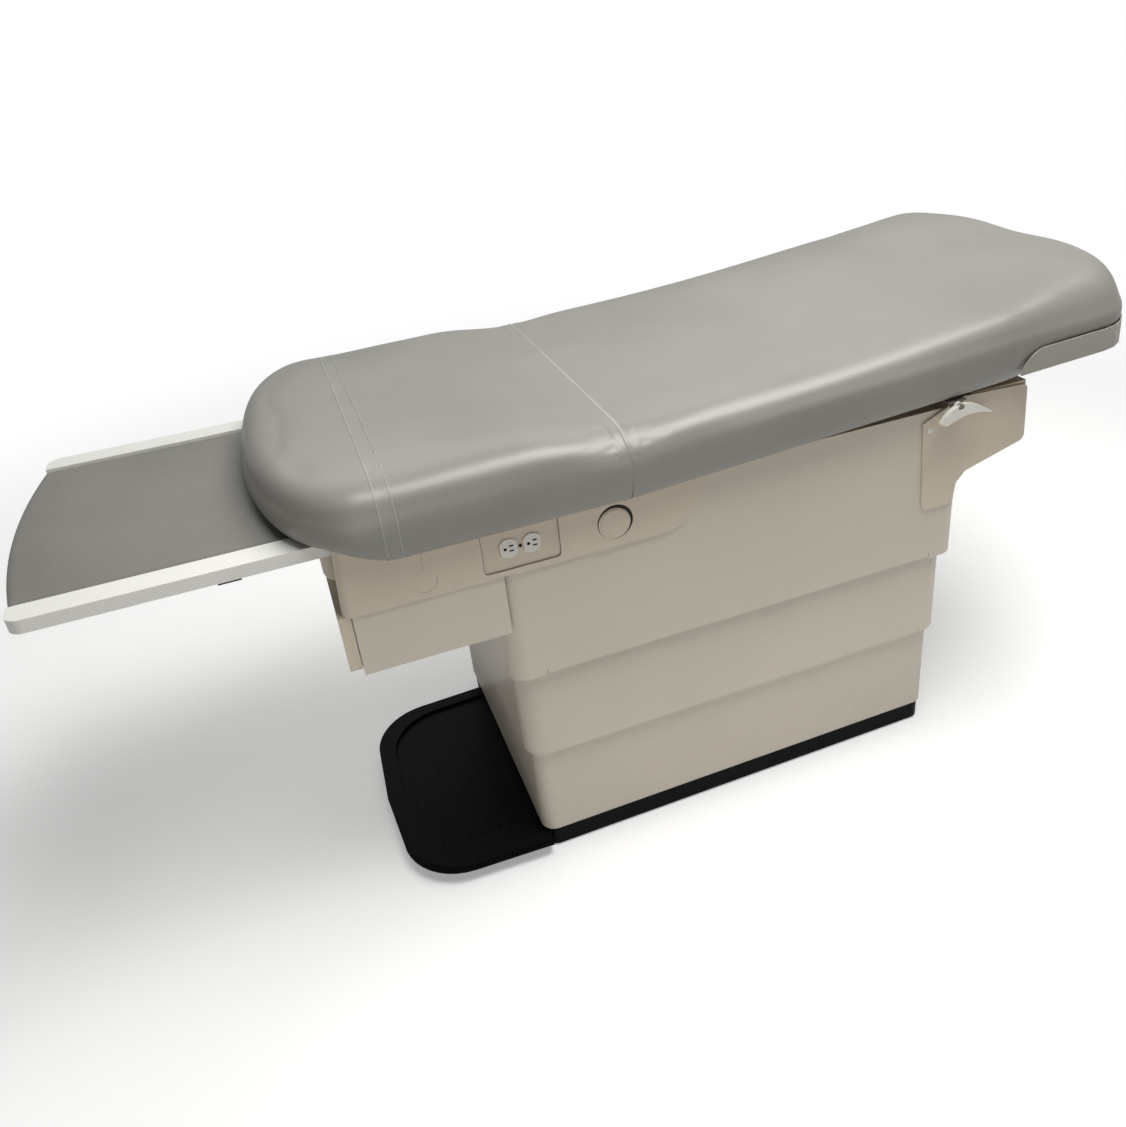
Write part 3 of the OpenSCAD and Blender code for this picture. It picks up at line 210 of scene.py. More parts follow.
def overload(name, operation):
    """Gives Value an arithmetic operator and its reflected form."""
    setattr(Value, f"__{name}__", lambda self, other: self.math(operation, self, other))
    setattr(Value, f"__r{name}__", lambda self, other: self.math(operation, other, self))


overload("add", "ADD")
overload("sub", "SUBTRACT")
overload("mul", "MULTIPLY")
overload("truediv", "DIVIDE")
overload("pow", "POWER")


class Graph:
    """A node tree that is built by one method."""

    def __init__(self, tree):
        self.tree = tree
        tree.nodes.clear()

    def node(self, kind, options, inputs, out=0):
        """Adds a node: its type, its settings, the values or links of its sockets; returns one output."""
        made = self.tree.nodes.new(kind)
        for key, value in options.items():
            setattr(made, key, value)
        for key, value in inputs.items():
            if isinstance(value, Value):
                self.tree.links.new(value.socket, made.inputs[key])
            else:
                made.inputs[key].default_value = value
        return made if out is None else Value(self, made.outputs[out])

    def values(self, kind, names):
        """Several outputs of one new node."""
        made = self.node(kind, {}, {}, None)
        return [Value(self, made.outputs[name]) for name in names]

    def seen(self, mirrored):
        """1 for what the camera sees, straight or through film; mirrored for what reflections see."""
        rays = ("Is Camera Ray", "Is Transmission Ray", "Is Glossy Ray")
        straight, through, glossy = self.values("ShaderNodeLightPath", rays)
        return straight.most(through).most(glossy * mirrored)


class Finish(Graph):
    """One procedural material on object coordinates."""

    def __init__(self, name):
        self.material = bpy.data.materials.new(name)
        self.material.use_nodes = True
        super().__init__(self.material.node_tree)
        self.place = self.node("ShaderNodeTexCoord", {}, {}, "Object")

    def axis(self, name):
        return self.node("ShaderNodeSeparateXYZ", {}, {"Vector": self.place}, name)

    def stretched(self, scale):
        """Object coordinates scaled unevenly, for streaks and brushing."""
        return self.node("ShaderNodeMapping", {}, {"Vector": self.place, "Scale": scale}, "Vector")

    def noise(self, scale, detail, rough, vector=None):
        inputs = {"Vector": vector or self.place, "Scale": scale, "Detail": detail, "Roughness": rough}
        return self.node("ShaderNodeTexNoise", {}, inputs, "Fac")

    def cells(self, scale):
        return self.node("ShaderNodeTexVoronoi", {}, {"Vector": self.place, "Scale": scale}, "Distance")

    def mixed(self, first, second, share):
        """Colour between first and second."""
        first, second = (c if isinstance(c, Value) else (*tuple(c)[:3], 1.0) for c in (first, second))
        return self.node("ShaderNodeMix", {"data_type": "RGBA"}, {0: share, 6: first, 7: second}, 2)

    def mottled(self, base, low, high, share):
        """A colour between a darker and a lighter tone of itself."""
        return self.mixed(tone(base, low), tone(base, high), share)

    def bump(self, height, strength, distance, under=None):
        inputs = {"Height": height, "Strength": strength, "Distance": distance}
        if under is not None:
            inputs["Normal"] = under
        return self.node("ShaderNodeBump", {}, inputs, "Normal")

    def end(self, surface):
        self.node("ShaderNodeOutputMaterial", {}, {"Surface": surface}, None)
        return self.material

    def done(self, base, roughness, normal, more=None):
        """Puts the shader in place; more holds its other sockets by their own names."""
        sockets = {"Base Color": base, "Roughness": roughness, "Normal": normal, **(more or {})}
        return self.end(self.node("ShaderNodeBsdfPrincipled", {}, sockets))


def tone(base, factor):
    return tuple(min(1.0, c * factor) for c in base)


# --- finishes ---


def vinyl_finish():
    """Moulded upholstery vinyl: fine leather grain, faint mottling, and a painted highlight along the fold
    line at the hinge, on the top only.
    """
    f = Finish("upholstery_vinyl")
    base = settings("finish").vinyl
    broad = f.noise(2.6, 3.0, 0.55)
    soil = f.noise(9.0, 4.0, 0.6)
    fold = abs(f.axis("X") - SEAM)
    patch = f.noise(7.0, 2.0, 0.5, f.stretched((0.3, 1.0, 1.0))).step(0.35, 0.7)
    # Painted highlight: the top is painted paler in patches along the hinge's fold line
    on_top = f.axis("Z").step(SEAM_TOP - 0.030, SEAM_TOP - 0.012)
    pale = (1.0 - fold.step(0.0006, 0.0032)) * (0.35 + 0.65 * patch) * on_top
    tinted = f.mottled(base, 0.93, 1.06, broad.step(0.3, 0.7))
    tinted = f.mixed(tinted, tone(base, 0.86), soil.step(0.62, 0.9) * 0.3)
    # The pale colour of the painted fold highlight is mixed in here
    tinted = f.mixed(tinted, (0.50, 0.50, 0.46), pale * 0.65)
    pebble = f.cells(760.0)
    pores = f.noise(1500.0, 2.0, 0.6)
    grain = f.bump(pebble * 0.7 + pores * 0.3, 0.16, 0.0004)
    slack = f.noise(11.0, 2.0, 0.5, f.stretched((0.6, 1.3, 1.0)))
    surface = f.bump(slack, 0.10, 0.004, grain)
    return f.done(tinted, 0.32 + 0.08 * broad + 0.05 * pores, surface, {"Specular IOR Level": 0.62})


def pad_finish():
    """Vinyl of the thin foot pad: coarser grain, dulled by feet and shoes in lengthwise streaks."""
    f = Finish("foot_pad_vinyl")
    base = tone(settings("finish").vinyl, 0.80)
    broad = f.noise(3.4, 3.0, 0.55)
    worn = f.noise(14.0, 5.0, 0.65, f.stretched((0.5, 1.0, 1.0))).step(0.5, 0.8)
    pebble = f.cells(420.0)
    pores = f.noise(1100.0, 2.0, 0.6)
    tinted = f.mottled(base, 0.92, 1.07, broad.step(0.3, 0.7))
    tinted = f.mixed(tinted, tone(base, 1.25), worn * 0.25)
    tinted = f.mixed(tinted, tone(base, 0.7), pebble.step(0.5, 0.9) * 0.35)
    grain = f.bump(pebble * 0.75 + pores * 0.25, 0.30, 0.0006)
    return f.done(tinted, 0.44 + 0.14 * worn + 0.05 * pores, grain)


def paint_finish(name, base, gloss, peel, soil_from, soil_to):
    """Baked paint on sheet: orange peel, faint scuffs, a little dust towards the lower edge."""
    f = Finish(name)
    broad = f.noise(1.7, 3.0, 0.5)
    scuffs = f.noise(30.0, 6.0, 0.7, f.stretched((1.0, 1.0, 5.0))).step(0.66, 0.78)
    low = 1.0 - f.axis("Z").step(soil_from, soil_to)
    dust = (low * f.noise(16.0, 4.0, 0.6)).held()
    tinted = f.mottled(base, 0.97, 1.03, broad.step(0.3, 0.7))
    tinted = f.mixed(tinted, tone(base, 0.72), scuffs * 0.16)
    tinted = f.mixed(tinted, tone(base, 0.66), dust * 0.30)
    peeled = f.bump(f.noise(220.0, 2.0, 0.5), peel, 0.0006)
    shine = gloss + 0.07 * broad + 0.12 * scuffs + 0.10 * dust
    return f.done(tinted, shine, peeled, {"Coat Weight": 0.15, "Coat Roughness": 0.2})


def moulded_finish(name, base, gloss, texture):
    """Moulded plastic with a fine spark-eroded texture and faint flow marks."""
    f = Finish(name)
    flow = f.noise(3.0, 3.0, 0.5, f.stretched((0.5, 1.0, 2.0)))
    specks = f.noise(700.0, 2.0, 0.6)
    marks = f.noise(24.0, 6.0, 0.7).step(0.64, 0.8)
    tinted = f.mottled(base, 0.96, 1.04, flow.step(0.3, 0.7))
    tinted = f.mixed(tinted, tone(base, 0.75), marks * 0.15)
    return f.done(tinted, gloss + 0.08 * flow + 0.10 * marks, f.bump(specks, texture, 0.0004))


def black_gloss_finish():
    """Black step and plinth plastic: glossy, with fine scratches and shoe dust."""
    f = Finish("black_moulding")
    scratch = f.noise(5.0, 8.0, 0.75, f.stretched((14.0, 1.0, 1.0))).step(0.6, 0.72)
    dust = f.noise(7.0, 5.0, 0.65).step(0.52, 0.82)
    tinted = f.mixed((0.006, 0.006, 0.007), (0.04, 0.038, 0.036), dust * 0.12 + scratch * 0.10)
    skin = f.bump(f.noise(420.0, 2.0, 0.5), 0.10, 0.0004)
    return f.done(tinted, 0.40 + 0.08 * dust + 0.08 * scratch, skin, {"Specular IOR Level": 0.05})


def metal_finish(name, base, rough, streak, along, metallic=1.0):
    """Drawn or brushed metal with streaks along one direction."""
    f = Finish(name)
    lines = f.noise(60.0, 4.0, 0.6, f.stretched(along))
    film = f.noise(6.0, 4.0, 0.6)
    tinted = f.mottled(base, 0.88, 1.05, lines)
    tinted = f.mixed(tinted, tone(base, 0.7), film.step(0.55, 0.85) * 0.3)
    skin = f.bump(lines, streak, 0.0003)
    return f.done(tinted, rough + 0.12 * film + 0.05 * lines, skin, {"Metallic": metallic})


def cast_finish():
    """Painted cast motor housing with a coarse skin."""
    f = Finish("cast_housing")
    lumps = f.noise(160.0, 4.0, 0.6)
    oil = f.noise(12.0, 4.0, 0.6).step(0.5, 0.75)
    tinted = f.mixed((0.20, 0.21, 0.22), (0.10, 0.10, 0.10), oil)
    return f.done(tinted, 0.62 - 0.25 * oil, f.bump(lumps, 0.35, 0.0008), {"Metallic": 0.3})


def rubber_finish():
    """Dull black rubber with a dusty bloom."""
    f = Finish("feet_rubber")
    bloom = f.noise(40.0, 4.0, 0.6)
    tinted = f.mixed((0.018, 0.018, 0.018), (0.07, 0.067, 0.062), bloom.step(0.5, 0.8) * 0.5)
    return f.done(tinted, 0.72 + 0.15 * bloom, f.bump(bloom, 0.2, 0.0006))


def plywood_finish():
    """Birch ply: long grain on the faces and stacked plies along the edges."""
    f = Finish("board_plywood")
    figure = f.noise(3.2, 6.0, 0.6, f.stretched((1.4, 16.0, 16.0)))
    rings = (figure * 26.0 + f.axis("Y") * 40.0).sine() * 0.5 + 0.5
    fibres = f.noise(90.0, 4.0, 0.7, f.stretched((0.05, 1.0, 1.0)))
    plies = ((f.axis("Z") - BOARD) * 2.0 * math.pi / 0.0024).sine() * 0.5 + 0.5
    figured = (rings * 0.5 + fibres * 0.5).step(0.3, 0.75) * 0.6
    tinted = f.mixed((0.60, 0.44, 0.27), (0.44, 0.29, 0.15), figured)
    tinted = f.mixed(tinted, (0.36, 0.23, 0.12), plies.step(0.55, 0.8) * 0.22)
    return f.done(tinted, 0.56 + 0.16 * fibres, f.bump(fibres, 0.22, 0.0005))


def film_finish():
    """Clear vinyl band that holds the table paper down: nearly invisible flat on, with a painted highlight
    at its edges, which are paler and more opaque.
    """
    f = Finish("clear_vinyl_band")
    ripple = f.noise(45.0, 2.0, 0.5, f.stretched((1.0, 0.25, 1.0)))
    edge = f.noise(300.0, 2.0, 0.5)
    half = (BAND_HI.x - BAND_LO.x) / 2
    # Painted highlight: near its long edges the band is paler and more opaque, for the light its edges catch
    rim = abs(f.axis("X") - (BAND_LO.x + BAND_HI.x) / 2).step(half - 0.0022, half - 0.0008)
    clear = {"Alpha": 0.05 + 0.40 * rim}
    return f.done((0.62, 0.62, 0.58, 1.0), 0.10 + 0.05 * edge, f.bump(ripple, 0.12, 0.0015), clear)


FINISH_NAMES = {
    "vinyl": "upholstery_vinyl",
    "shroud_paint": "shroud_paint_film",
    "cream_plastic": "panel_plastic",
    "white_metal": "rail_white_film",
    "black_plastic": "black_moulding",
    "black_metal": "frame_black_film",
    "dark_steel": "frame_grey_film",
    "column_steel": "column_extrusion",
    "steel": "brushed_sheet",
    "chromed": "polished_chrome",
    "rubber": "feet_rubber",
    "plywood": "board_plywood",
    "clear_band": "clear_vinyl_band",
    "glide_plastic": "glide_nylon",
    "cast_motor": "cast_housing",
}


def make_finishes():
    """Makes every finish once; the numbers are gloss, texture depth and, for paint, the dusty levels."""
    s = settings("finish")
    vinyl_finish()
    pad_finish()
    black_gloss_finish()
    rubber_finish()
    plywood_finish()
    film_finish()
    cast_finish()
    paint_finish("shroud_paint_film", s.shroud, 0.34, 0.10, 0.05, 0.30)
    paint_finish("rail_white_film", s.rail, 0.30, 0.05, 0.60, 0.64)
    paint_finish("frame_black_film", (0.035, 0.035, 0.038), 0.42, 0.25, 0.0, 0.05)
    paint_finish("frame_grey_film", (0.17, 0.17, 0.18), 0.48, 0.3, 0.1, 0.3)
    # Taupe darkened by painted shade: for the lever brackets, and for the painted shadow line round the
    # outlet window
    paint_finish("bracket_film", (0.19, 0.165, 0.14), 0.42, 0.25, 0.0, 0.05)
    moulded_finish("panel_plastic", s.plastic, 0.36, 0.10)
    moulded_finish("handle_plastic", (0.78, 0.76, 0.70), 0.30, 0.08)
    # Paper pan grey: partly the pan's own grey, partly painted shade for its place at the dim head end
    moulded_finish("pan_plastic", (0.36, 0.34, 0.30), 0.34, 0.10)
    moulded_finish("glide_nylon", (0.05, 0.05, 0.055), 0.5, 0.15)
    metal_finish("column_extrusion", (0.60, 0.61, 0.63), 0.32, 0.12, (1.0, 1.0, 0.04), 0.85)
    metal_finish("brushed_sheet", (0.66, 0.66, 0.68), 0.26, 0.18, (0.04, 1.0, 1.0))
    metal_finish("polished_chrome", (0.82, 0.82, 0.84), 0.06, 0.02, (0.5, 1.0, 1.0))


def finish_of(slot):
    """The finish of one of the record's slots."""
    if "upholstery_vinyl" not in bpy.data.materials:
        make_finishes()
    return bpy.data.materials[FINISH_NAMES[slot]]


# --- mesh helpers ---


def ease(value, start, end):
    t = np.clip((np.asarray(value, float) - start) / (end - start), 0, 1)
    return t * t * (3 - 2 * t)


def dome(share):
    """Quarter-round rise over an inset share of 0 to 1."""
    return np.sqrt(np.clip(1 - (1 - np.clip(share, 0, 1)) ** 2, 0, 1))


def turned_in(radius, angle):
    """How far a rolled edge has come in at an angle in degrees."""
    return radius * (1 - math.cos(math.radians(angle)))


def rolled(x, inset, roll):
    """Rise of a cushion's rolled edge: rounder at the seam and the pillow, squarer between them."""
    square = ease(np.abs(x - SEAM), 0.034, 0.110) * (1 - ease(x, HEAD - 0.360, HEAD - 0.170))
    blunt = 2.0 + 1.3 * square
    across = 1 - np.clip(inset / roll, 0, 1)
    return np.clip(1 - across**blunt, 0, 1) ** (1 / blunt)


def arc(x, z, radius, start, turn, steps):
    """Points on an arc in the XZ plane, its angles in degrees."""
    angles = [math.radians(start + turn * k / steps) for k in range(steps + 1)]
    return [(x + radius * math.cos(a), z + radius * math.sin(a)) for a in angles]


def sheet_faces(rows, count):
    """Quads of a sheet of rows of count points."""
    corners = [r * count + i for r in range(rows - 1) for i in range(count - 1)]
    return [(a, a + 1, a + 1 + count, a + count) for a in corners]


def double_sheet_faces(rows, count):
    """Quads of two sheets that face apart, the second one's points after the first one's."""
    size = rows * count
    faces = []
    for a, b, c, d in sheet_faces(rows, count):
        faces += [(a, b, c, d), (size + a, size + d, size + c, size + b)]
    return faces


def ring_faces(first, second, sides):
    """Quads between two closed rings of points, each given by its first index."""
    steps = [(k, (k + 1) % sides) for k in range(sides)]
    return [(first + k, first + j, second + j, second + k) for k, j in steps]


def linked(name, data):
    """A new object in the scene."""
    obj = bpy.data.objects.new(name, data)
    bpy.context.scene.collection.objects.link(obj)
    return obj


def outward(obj):
    """Merges doubles and turns a closed mesh's faces outwards."""
    work = bmesh.new()
    work.from_mesh(obj.data)
    bmesh.ops.remove_doubles(work, verts=work.verts, dist=1e-6)
    bmesh.ops.recalc_face_normals(work, faces=work.faces)
    work.to_mesh(obj.data)
    work.free()
    obj.data.update()


def new_object(name, points, faces, slot, smooth=True):
    """A closed mesh object in the scene with the finish of a slot."""
    mesh = bpy.data.meshes.new(name)
    mesh.from_pydata([tuple(map(float, p)) for p in points], [], [tuple(map(int, f)) for f in faces])
    mesh.validate()
    mesh.polygons.foreach_set("use_smooth", [smooth] * len(mesh.polygons))
    obj = linked(name, mesh)
    mesh.materials.append(finish_of(slot))
    outward(obj)
    return obj


def baked(obj):
    """Replaces the object's mesh by its evaluated one and drops the modifiers."""
    graph = bpy.context.evaluated_depsgraph_get()
    mesh = bpy.data.meshes.new_from_object(obj.evaluated_get(graph))
    obj.modifiers.clear()
    old = obj.data
    obj.data = mesh
    bpy.data.meshes.remove(old)
    mesh.name = obj.name
    return obj


def vertex_rows(obj, attribute="co"):
    """One row for each vertex: its place, or its normal."""
    flat = np.zeros(len(obj.data.vertices) * 3)
    obj.data.vertices.foreach_get(attribute, flat)
    return flat.reshape(-1, 3)


def set_coordinates(obj, points):
    obj.data.vertices.foreach_set("co", np.asarray(points, float).ravel())
    obj.data.update()


def evened(obj, moved, rounds):
    """Spreads each point's move over its neighbours, so that the cover keeps its swell but no buckles."""
    ends = np.array([edge.vertices[:] for edge in obj.data.edges])
    count = np.bincount(ends.ravel(), minlength=len(moved)).astype(float)[:, None]
    for _ in range(rounds):
        total = np.zeros_like(moved)
        np.add.at(total, ends[:, 0], moved[ends[:, 1]])
        np.add.at(total, ends[:, 1], moved[ends[:, 0]])
        moved = 0.5 * moved + 0.5 * total / np.maximum(count, 1)
    return moved


CLOTH = {
    "quality": 5,
    "mass": 0.4,
    "tension_stiffness": 40,
    "compression_stiffness": 20,
    "shear_stiffness": 15,
    "bending_stiffness": 4,
    "vertex_group_mass": "held",
    "use_pressure": True,
}
DRAWN = 0.4  # share of the limit by which the cover is drawn in before it swells


def settle(obj, held, limit, pressure, frames=20):
    """Lets the stuffing push the cover out by simulation, each point by limit at most; held points stay."""
    free = 1.0 - held
    drawn = vertex_rows(obj) - vertex_rows(obj, "normal") * (free * limit * DRAWN)[:, None]
    set_coordinates(obj, drawn)
    group = obj.vertex_groups.new(name="held")
    for i, weight in enumerate(held):
        group.add([i], float(weight), "REPLACE")
    cloth = obj.modifiers.new("settle", "CLOTH")
    for key, value in CLOTH.items():
        setattr(cloth.settings, key, value)
    cloth.settings.uniform_pressure_force = pressure
    cloth.settings.effector_weights.gravity = 0.0
    cloth.collision_settings.use_collision = False
    cloth.point_cache.frame_start = 1
    cloth.point_cache.frame_end = frames
    scene = bpy.context.scene
    for frame_number in range(1, frames + 1):
        scene.frame_set(frame_number)
    moved = vertex_rows(obj.evaluated_get(bpy.context.evaluated_depsgraph_get())) - drawn
    obj.modifiers.clear()
    obj.vertex_groups.clear()
    far = np.linalg.norm(moved, axis=1)
    if not np.isfinite(far).all() or far.max() < 1e-6:
        raise RuntimeError(f"{obj.name}: the cover didn't settle")
    moved *= (np.minimum(far, limit) / np.maximum(far, 1e-9))[:, None]
    set_coordinates(obj, drawn + evened(obj, moved, 24) * free[:, None])
    scene.frame_set(1)


def subdivided(obj):
    finer = obj.modifiers.new("finer", "SUBSURF")
    finer.levels = finer.render_levels = 1
    finer.boundary_smooth = "PRESERVE_CORNERS"
    baked(obj)


# --- cushions ---


@dataclass
class Cushion:
    """A padded shell: rolled upper edge, side skirts, and a recess for its board below.

    It runs from the seam to a rounded end. Points lie on rays from the plan outline to the middle line.
    """

    seam: float
    end: float
    nose: float
    surface: Callable
    rim: Callable
    skirt: Callable
    ceiling: Callable
    edge: Callable
    recess_end: float
    corner: float
    roll: float
    crown: float
    draw_in: Callable

    def __post_init__(self):
        self.way = 1.0 if self.end > self.seam else -1.0
        self.start = self.end - self.way * self.nose

    def in_recess(self, x, y):
        """True inside the board's outline, which has round corners at its end."""
        over_x = (x - self.recess_end) * self.way + self.corner
        over_y = abs(y) - RECESS + self.corner
        if over_x > 0 and over_y > 0:
            return math.hypot(over_x, over_y) < self.corner
        return over_x < self.corner and over_y < self.corner

    def rays(self, stations, turns):
        """Outer and inner plan points and the foot of each ray on the middle line."""
        blunt = 2.0 / BLUNTNESS
        outer = [(x, -HALF_WIDTH) for x in stations]
        foot = [(x, 0.0) for x in stations]
        for k in range(1, turns):
            a = math.pi * k / turns
            c, s = math.cos(a), math.sin(a)
            side = -math.copysign(abs(c) ** blunt, c)
            outer.append((self.start + self.way * self.nose * s**blunt, side * HALF_WIDTH))
            foot.append((self.start, 0.0))
        outer += [(x, -y) for x, y in outer[: len(stations)]][::-1]
        foot += foot[: len(stations)][::-1]
        inner, inner_foot = [], []
        last = self.recess_end - self.way * 0.012
        for (x, y), (fx, _) in zip(outer, foot):
            base = min(fx, last) if self.way > 0 else max(fx, last)
            # The ray's point on the recess, found by halving
            low, high = 0.0, 1.0
            for _ in range(30):
                half = (low + high) / 2
                if self.in_recess(base + (x - base) * half, y * half):
                    low = half
                else:
                    high = half
            inner.append((base + (x - base) * low, y * low))
            inner_foot.append((base, 0.0))
        outer = [(x, y * (1 - self.draw_in(x))) for x, y in outer]
        return [np.array(v) for v in (outer, inner, foot, inner_foot)]

    def height(self, x, y, inset):
        full = self.surface(x) - self.crown * (y / HALF_WIDTH) ** 2 - self.rim(x)
        return self.rim(x) + full * np.minimum(rolled(x, inset, self.roll), self.edge(x))

    def build(self, name, stations, turns, across, slot):
        """The shell as a closed mesh object."""
        outer, inner, foot, inner_foot = self.rays(stations, turns)
        reach = np.linalg.norm(outer - foot, axis=1)

        def inwards(inset):
            return outer + (foot - outer) * (inset / reach)[:, None]

        insets = [turned_in(self.roll, a) for a in (0, 3, 6.5, 11, 17, 24, 32, 41, 50, 60, 70, 80, 90)]
        insets += [self.roll + (reach - self.roll) * k / across for k in range(1, across + 1)]
        upper, lower = [], []
        for inset in insets:
            p = inwards(inset)
            upper.append(np.column_stack([p, self.height(p[:, 0], p[:, 1], inset)]))
        for angle in range(15, 91, 15):
            inset = turned_in(LOW_ROLL, angle)
            p = inwards(inset)
            rim, low = self.rim(p[:, 0]), self.skirt(p[:, 0])
            lower.append(np.column_stack([p, rim - (rim - low) * dome(inset / LOW_ROLL)]))
        hem = inner + (lower[-1][:, :2] - inner) * 0.12
        lean = 0.0015  # the recess wall leans in by this towards its ceiling
        ray = inner_foot - inner
        leant = inner + ray * (lean / np.maximum(np.linalg.norm(ray, axis=1), 1e-6))[:, None]
        for plan, level in ((hem, self.skirt), (inner, self.skirt), (leant, self.ceiling)):
            lower.append(np.column_stack([plan, level(plan[:, 0])]))
        for k in (1, 2, 3, 4):
            p = inner + ray * (lean + (1 - lean) * k / 4)
            lower.append(np.column_stack([p, self.ceiling(p[:, 0])]))
        count = len(outer)
        sheet = upper[::-1] + lower
        points = np.vstack(sheet)
        faces = sheet_faces(len(sheet), count)
        # Close the seam end between its upper and lower outline, from the middle to each rim
        rim_row = len(upper) - 1
        for column in (0, count - 1):
            top = [r * count + column for r in range(rim_row + 1)]
            under = [r * count + column for r in range(len(sheet) - 1, rim_row - 1, -1)]
            i = j = 0
            while i < len(top) - 1 or j < len(under) - 1:
                up = abs(points[top[i + 1]][1]) if i < len(top) - 1 else 9.0
                down = abs(points[under[j + 1]][1]) if j < len(under) - 1 else 9.0
                if up <= down:
                    trio = (top[i], top[i + 1], under[j])
                    i += 1
                else:
                    trio = (top[i], under[j + 1], under[j])
                    j += 1
                if len(set(trio)) == 3:
                    faces.append(trio)
        return new_object(name, points, faces, slot)


def level_at(z):
    """A level surface as a function of X."""
    return lambda x: z + 0.0 * x


def seat_line(x):
    """The seat's top along its middle: level, then down to the seam."""
    return SEAT_TOP - (SEAT_TOP - SEAM_TOP) * ease(x, SEAM - 0.170, SEAM)


def seat_shape():
    s = settings("upholstery")
    return Cushion(
        seam=SEAM + SEAM_PRESS,
        end=FOOT,
        nose=s.seat_nose,
        surface=seat_line,
        rim=level_at(RIM),
        skirt=lambda x: SKIRT + (BOARD - 0.001 - SKIRT) * ease(-x, -FOOT - 0.198, -FOOT - 0.082),
        ceiling=level_at(BOARD_TOP + 0.0004),
        edge=lambda x: 0.9 + 0.1 * dome((SEAM - x) / 0.008),
        recess_end=SEAT_BOARD_LO.x - 0.001,
        corner=0.101,
        roll=s.roll,
        crown=s.crown,
        draw_in=lambda x: 0.0,
    )


BACK_SPAN = 0.744  # length over which the back's top rises by BACK_RISE and sags by BACK_SAG
BACK_RISE = 0.056
BACK_SAG = 0.008
PILLOW_RISE = 0.016
PILLOW_FOOT = HEAD - 0.365
PILLOW_TOP = HEAD - 0.165
SKIRT_SLOPE = 0.056
RIM_SLOPE = 0.06


def back_line(x):
    """The back's top along its middle: a slight sag, then up to the pillow."""
    t = (x - SEAM) / BACK_SPAN
    sag = BACK_SAG * np.sin(np.pi * np.clip(t, 0, 1))
    return SEAM_TOP + BACK_RISE * t + PILLOW_RISE * ease(x, PILLOW_FOOT, PILLOW_TOP) - sag


def back_floor(x):
    """Underside of the back board."""
    return BOARD + SLOPE * (x - PIVOT_X)


def back_skirt(x):
    """The back's lower edge, which runs up to the board under the pillow."""
    base = SKIRT + SKIRT_SLOPE * (x - SEAM)
    return base + (back_floor(x) - base) * ease(x, HEAD - 0.335, HEAD - 0.225)


def back_rim(x):
    """The back's widest line."""
    return RIM + RIM_SLOPE * (x - SEAM)


def back_shape():
    s = settings("upholstery")

    def edge(x):
        share = np.where(x < PIVOT_X, (PIVOT_Z - back_rim(x)) / (back_line(x) - back_rim(x)), 1.0)
        return share + (1 - share) * dome((x - SEAM) / HINGE)

    return Cushion(
        seam=SEAM - SEAM_PRESS,
        end=BACK_END,
        nose=s.back_nose,
        surface=back_line,
        rim=back_rim,
        skirt=back_skirt,
        ceiling=lambda x: back_floor(x) + 0.0126 + 0.0065 * (1 - ease(x, PIVOT_X + 0.014, PIVOT_X + 0.034)),
        edge=edge,
        recess_end=BACK_BOARD_END + 0.001,
        corner=0.0005,
        roll=s.roll,
        crown=s.crown,
        draw_in=lambda x: HEAD_LAP / HALF_WIDTH * float(ease(x, PILLOW_FOOT, PILLOW_FOOT + 0.055)),
    )


def held_points(obj, shape):
    """1 where the cover is fixed: skirts, underside and the seam edge; 0 on the padded top."""
    p = vertex_rows(obj)
    over = p[:, 2] - shape.rim(p[:, 0])
    top = ease(over, 0.004, 0.030)
    from_seam = ease(np.abs(p[:, 0] - shape.seam), 0.036, 0.095)
    return 1.0 - top * from_seam


def pinch(points, outward_dirs, centre, direction, length, depth, width):
    """One small fold: a shallow valley along direction with a soft lip on each side."""
    c, d = np.array(centre), np.array(direction, float)
    d /= np.linalg.norm(d)
    rel = points - c
    along = rel @ d
    off = np.linalg.norm(rel - np.outer(along, d), axis=1)
    window = np.exp(-((along / length) ** 2) * 1.6)
    profile = -np.exp(-((off / width) ** 2)) + 0.45 * np.exp(-(((off - 1.9 * width) / width) ** 2))
    return points + outward_dirs * (depth * window * profile)[:, None]


def relax_marks(obj, dents):
    """Broad shallow dents where people sit and lie: each one's centre, half length, half width and depth."""
    p, n = vertex_rows(obj), vertex_rows(obj, "normal")
    for x, y, rx, ry, depth in dents:
        share = np.exp(-(((p[:, 0] - x) / rx) ** 2) - (((p[:, 1] - y) / ry) ** 2))
        up = np.clip(n[:, 2], 0, 1) ** 2
        p[:, 2] -= depth * share * up
    set_coordinates(obj, p)


def seam_folds(obj, side):
    """Small gathers of the cover where the fold line runs over each rolled edge."""
    p, n = vertex_rows(obj), vertex_rows(obj, "normal")
    for hand in (-1.0, 1.0):
        y = hand * (HALF_WIDTH - 0.018)
        z = back_rim(SEAM) + 0.040
        for dx, dz, slant, depth in (
            (0.016, 0.000, 0.9, 0.0013),
            (0.034, -0.008, 0.5, 0.0011),
            (0.058, 0.004, 0.35, 0.0008),
        ):
            spot = (SEAM + side * dx, y, z + dz)
            p = pinch(p, n, spot, (side, -0.25 * hand, -slant), 0.022, depth, 0.0045)
    set_coordinates(obj, p)


def upholstered(name, shape, stations, dents, side):
    """A cushion's cover: settled over its stuffing, dented by use and gathered at the seam."""
    obj = shape.build(name, stations, 56, 22, "vinyl")
    s = settings("upholstery")
    settle(obj, held_points(obj, shape), s.swell, s.pressure)
    subdivided(obj)
    relax_marks(obj, dents)
    seam_folds(obj, side)
    return obj


def cut(obj, solids):
    """Takes closed solids away from the object."""
    for solid in solids:
        taken = obj.modifiers.new("cut", "BOOLEAN")
        taken.operation = "DIFFERENCE"
        taken.solver = "EXACT"
        taken.object = solid
    baked(obj)
    for solid in solids:
        bpy.data.objects.remove(solid)


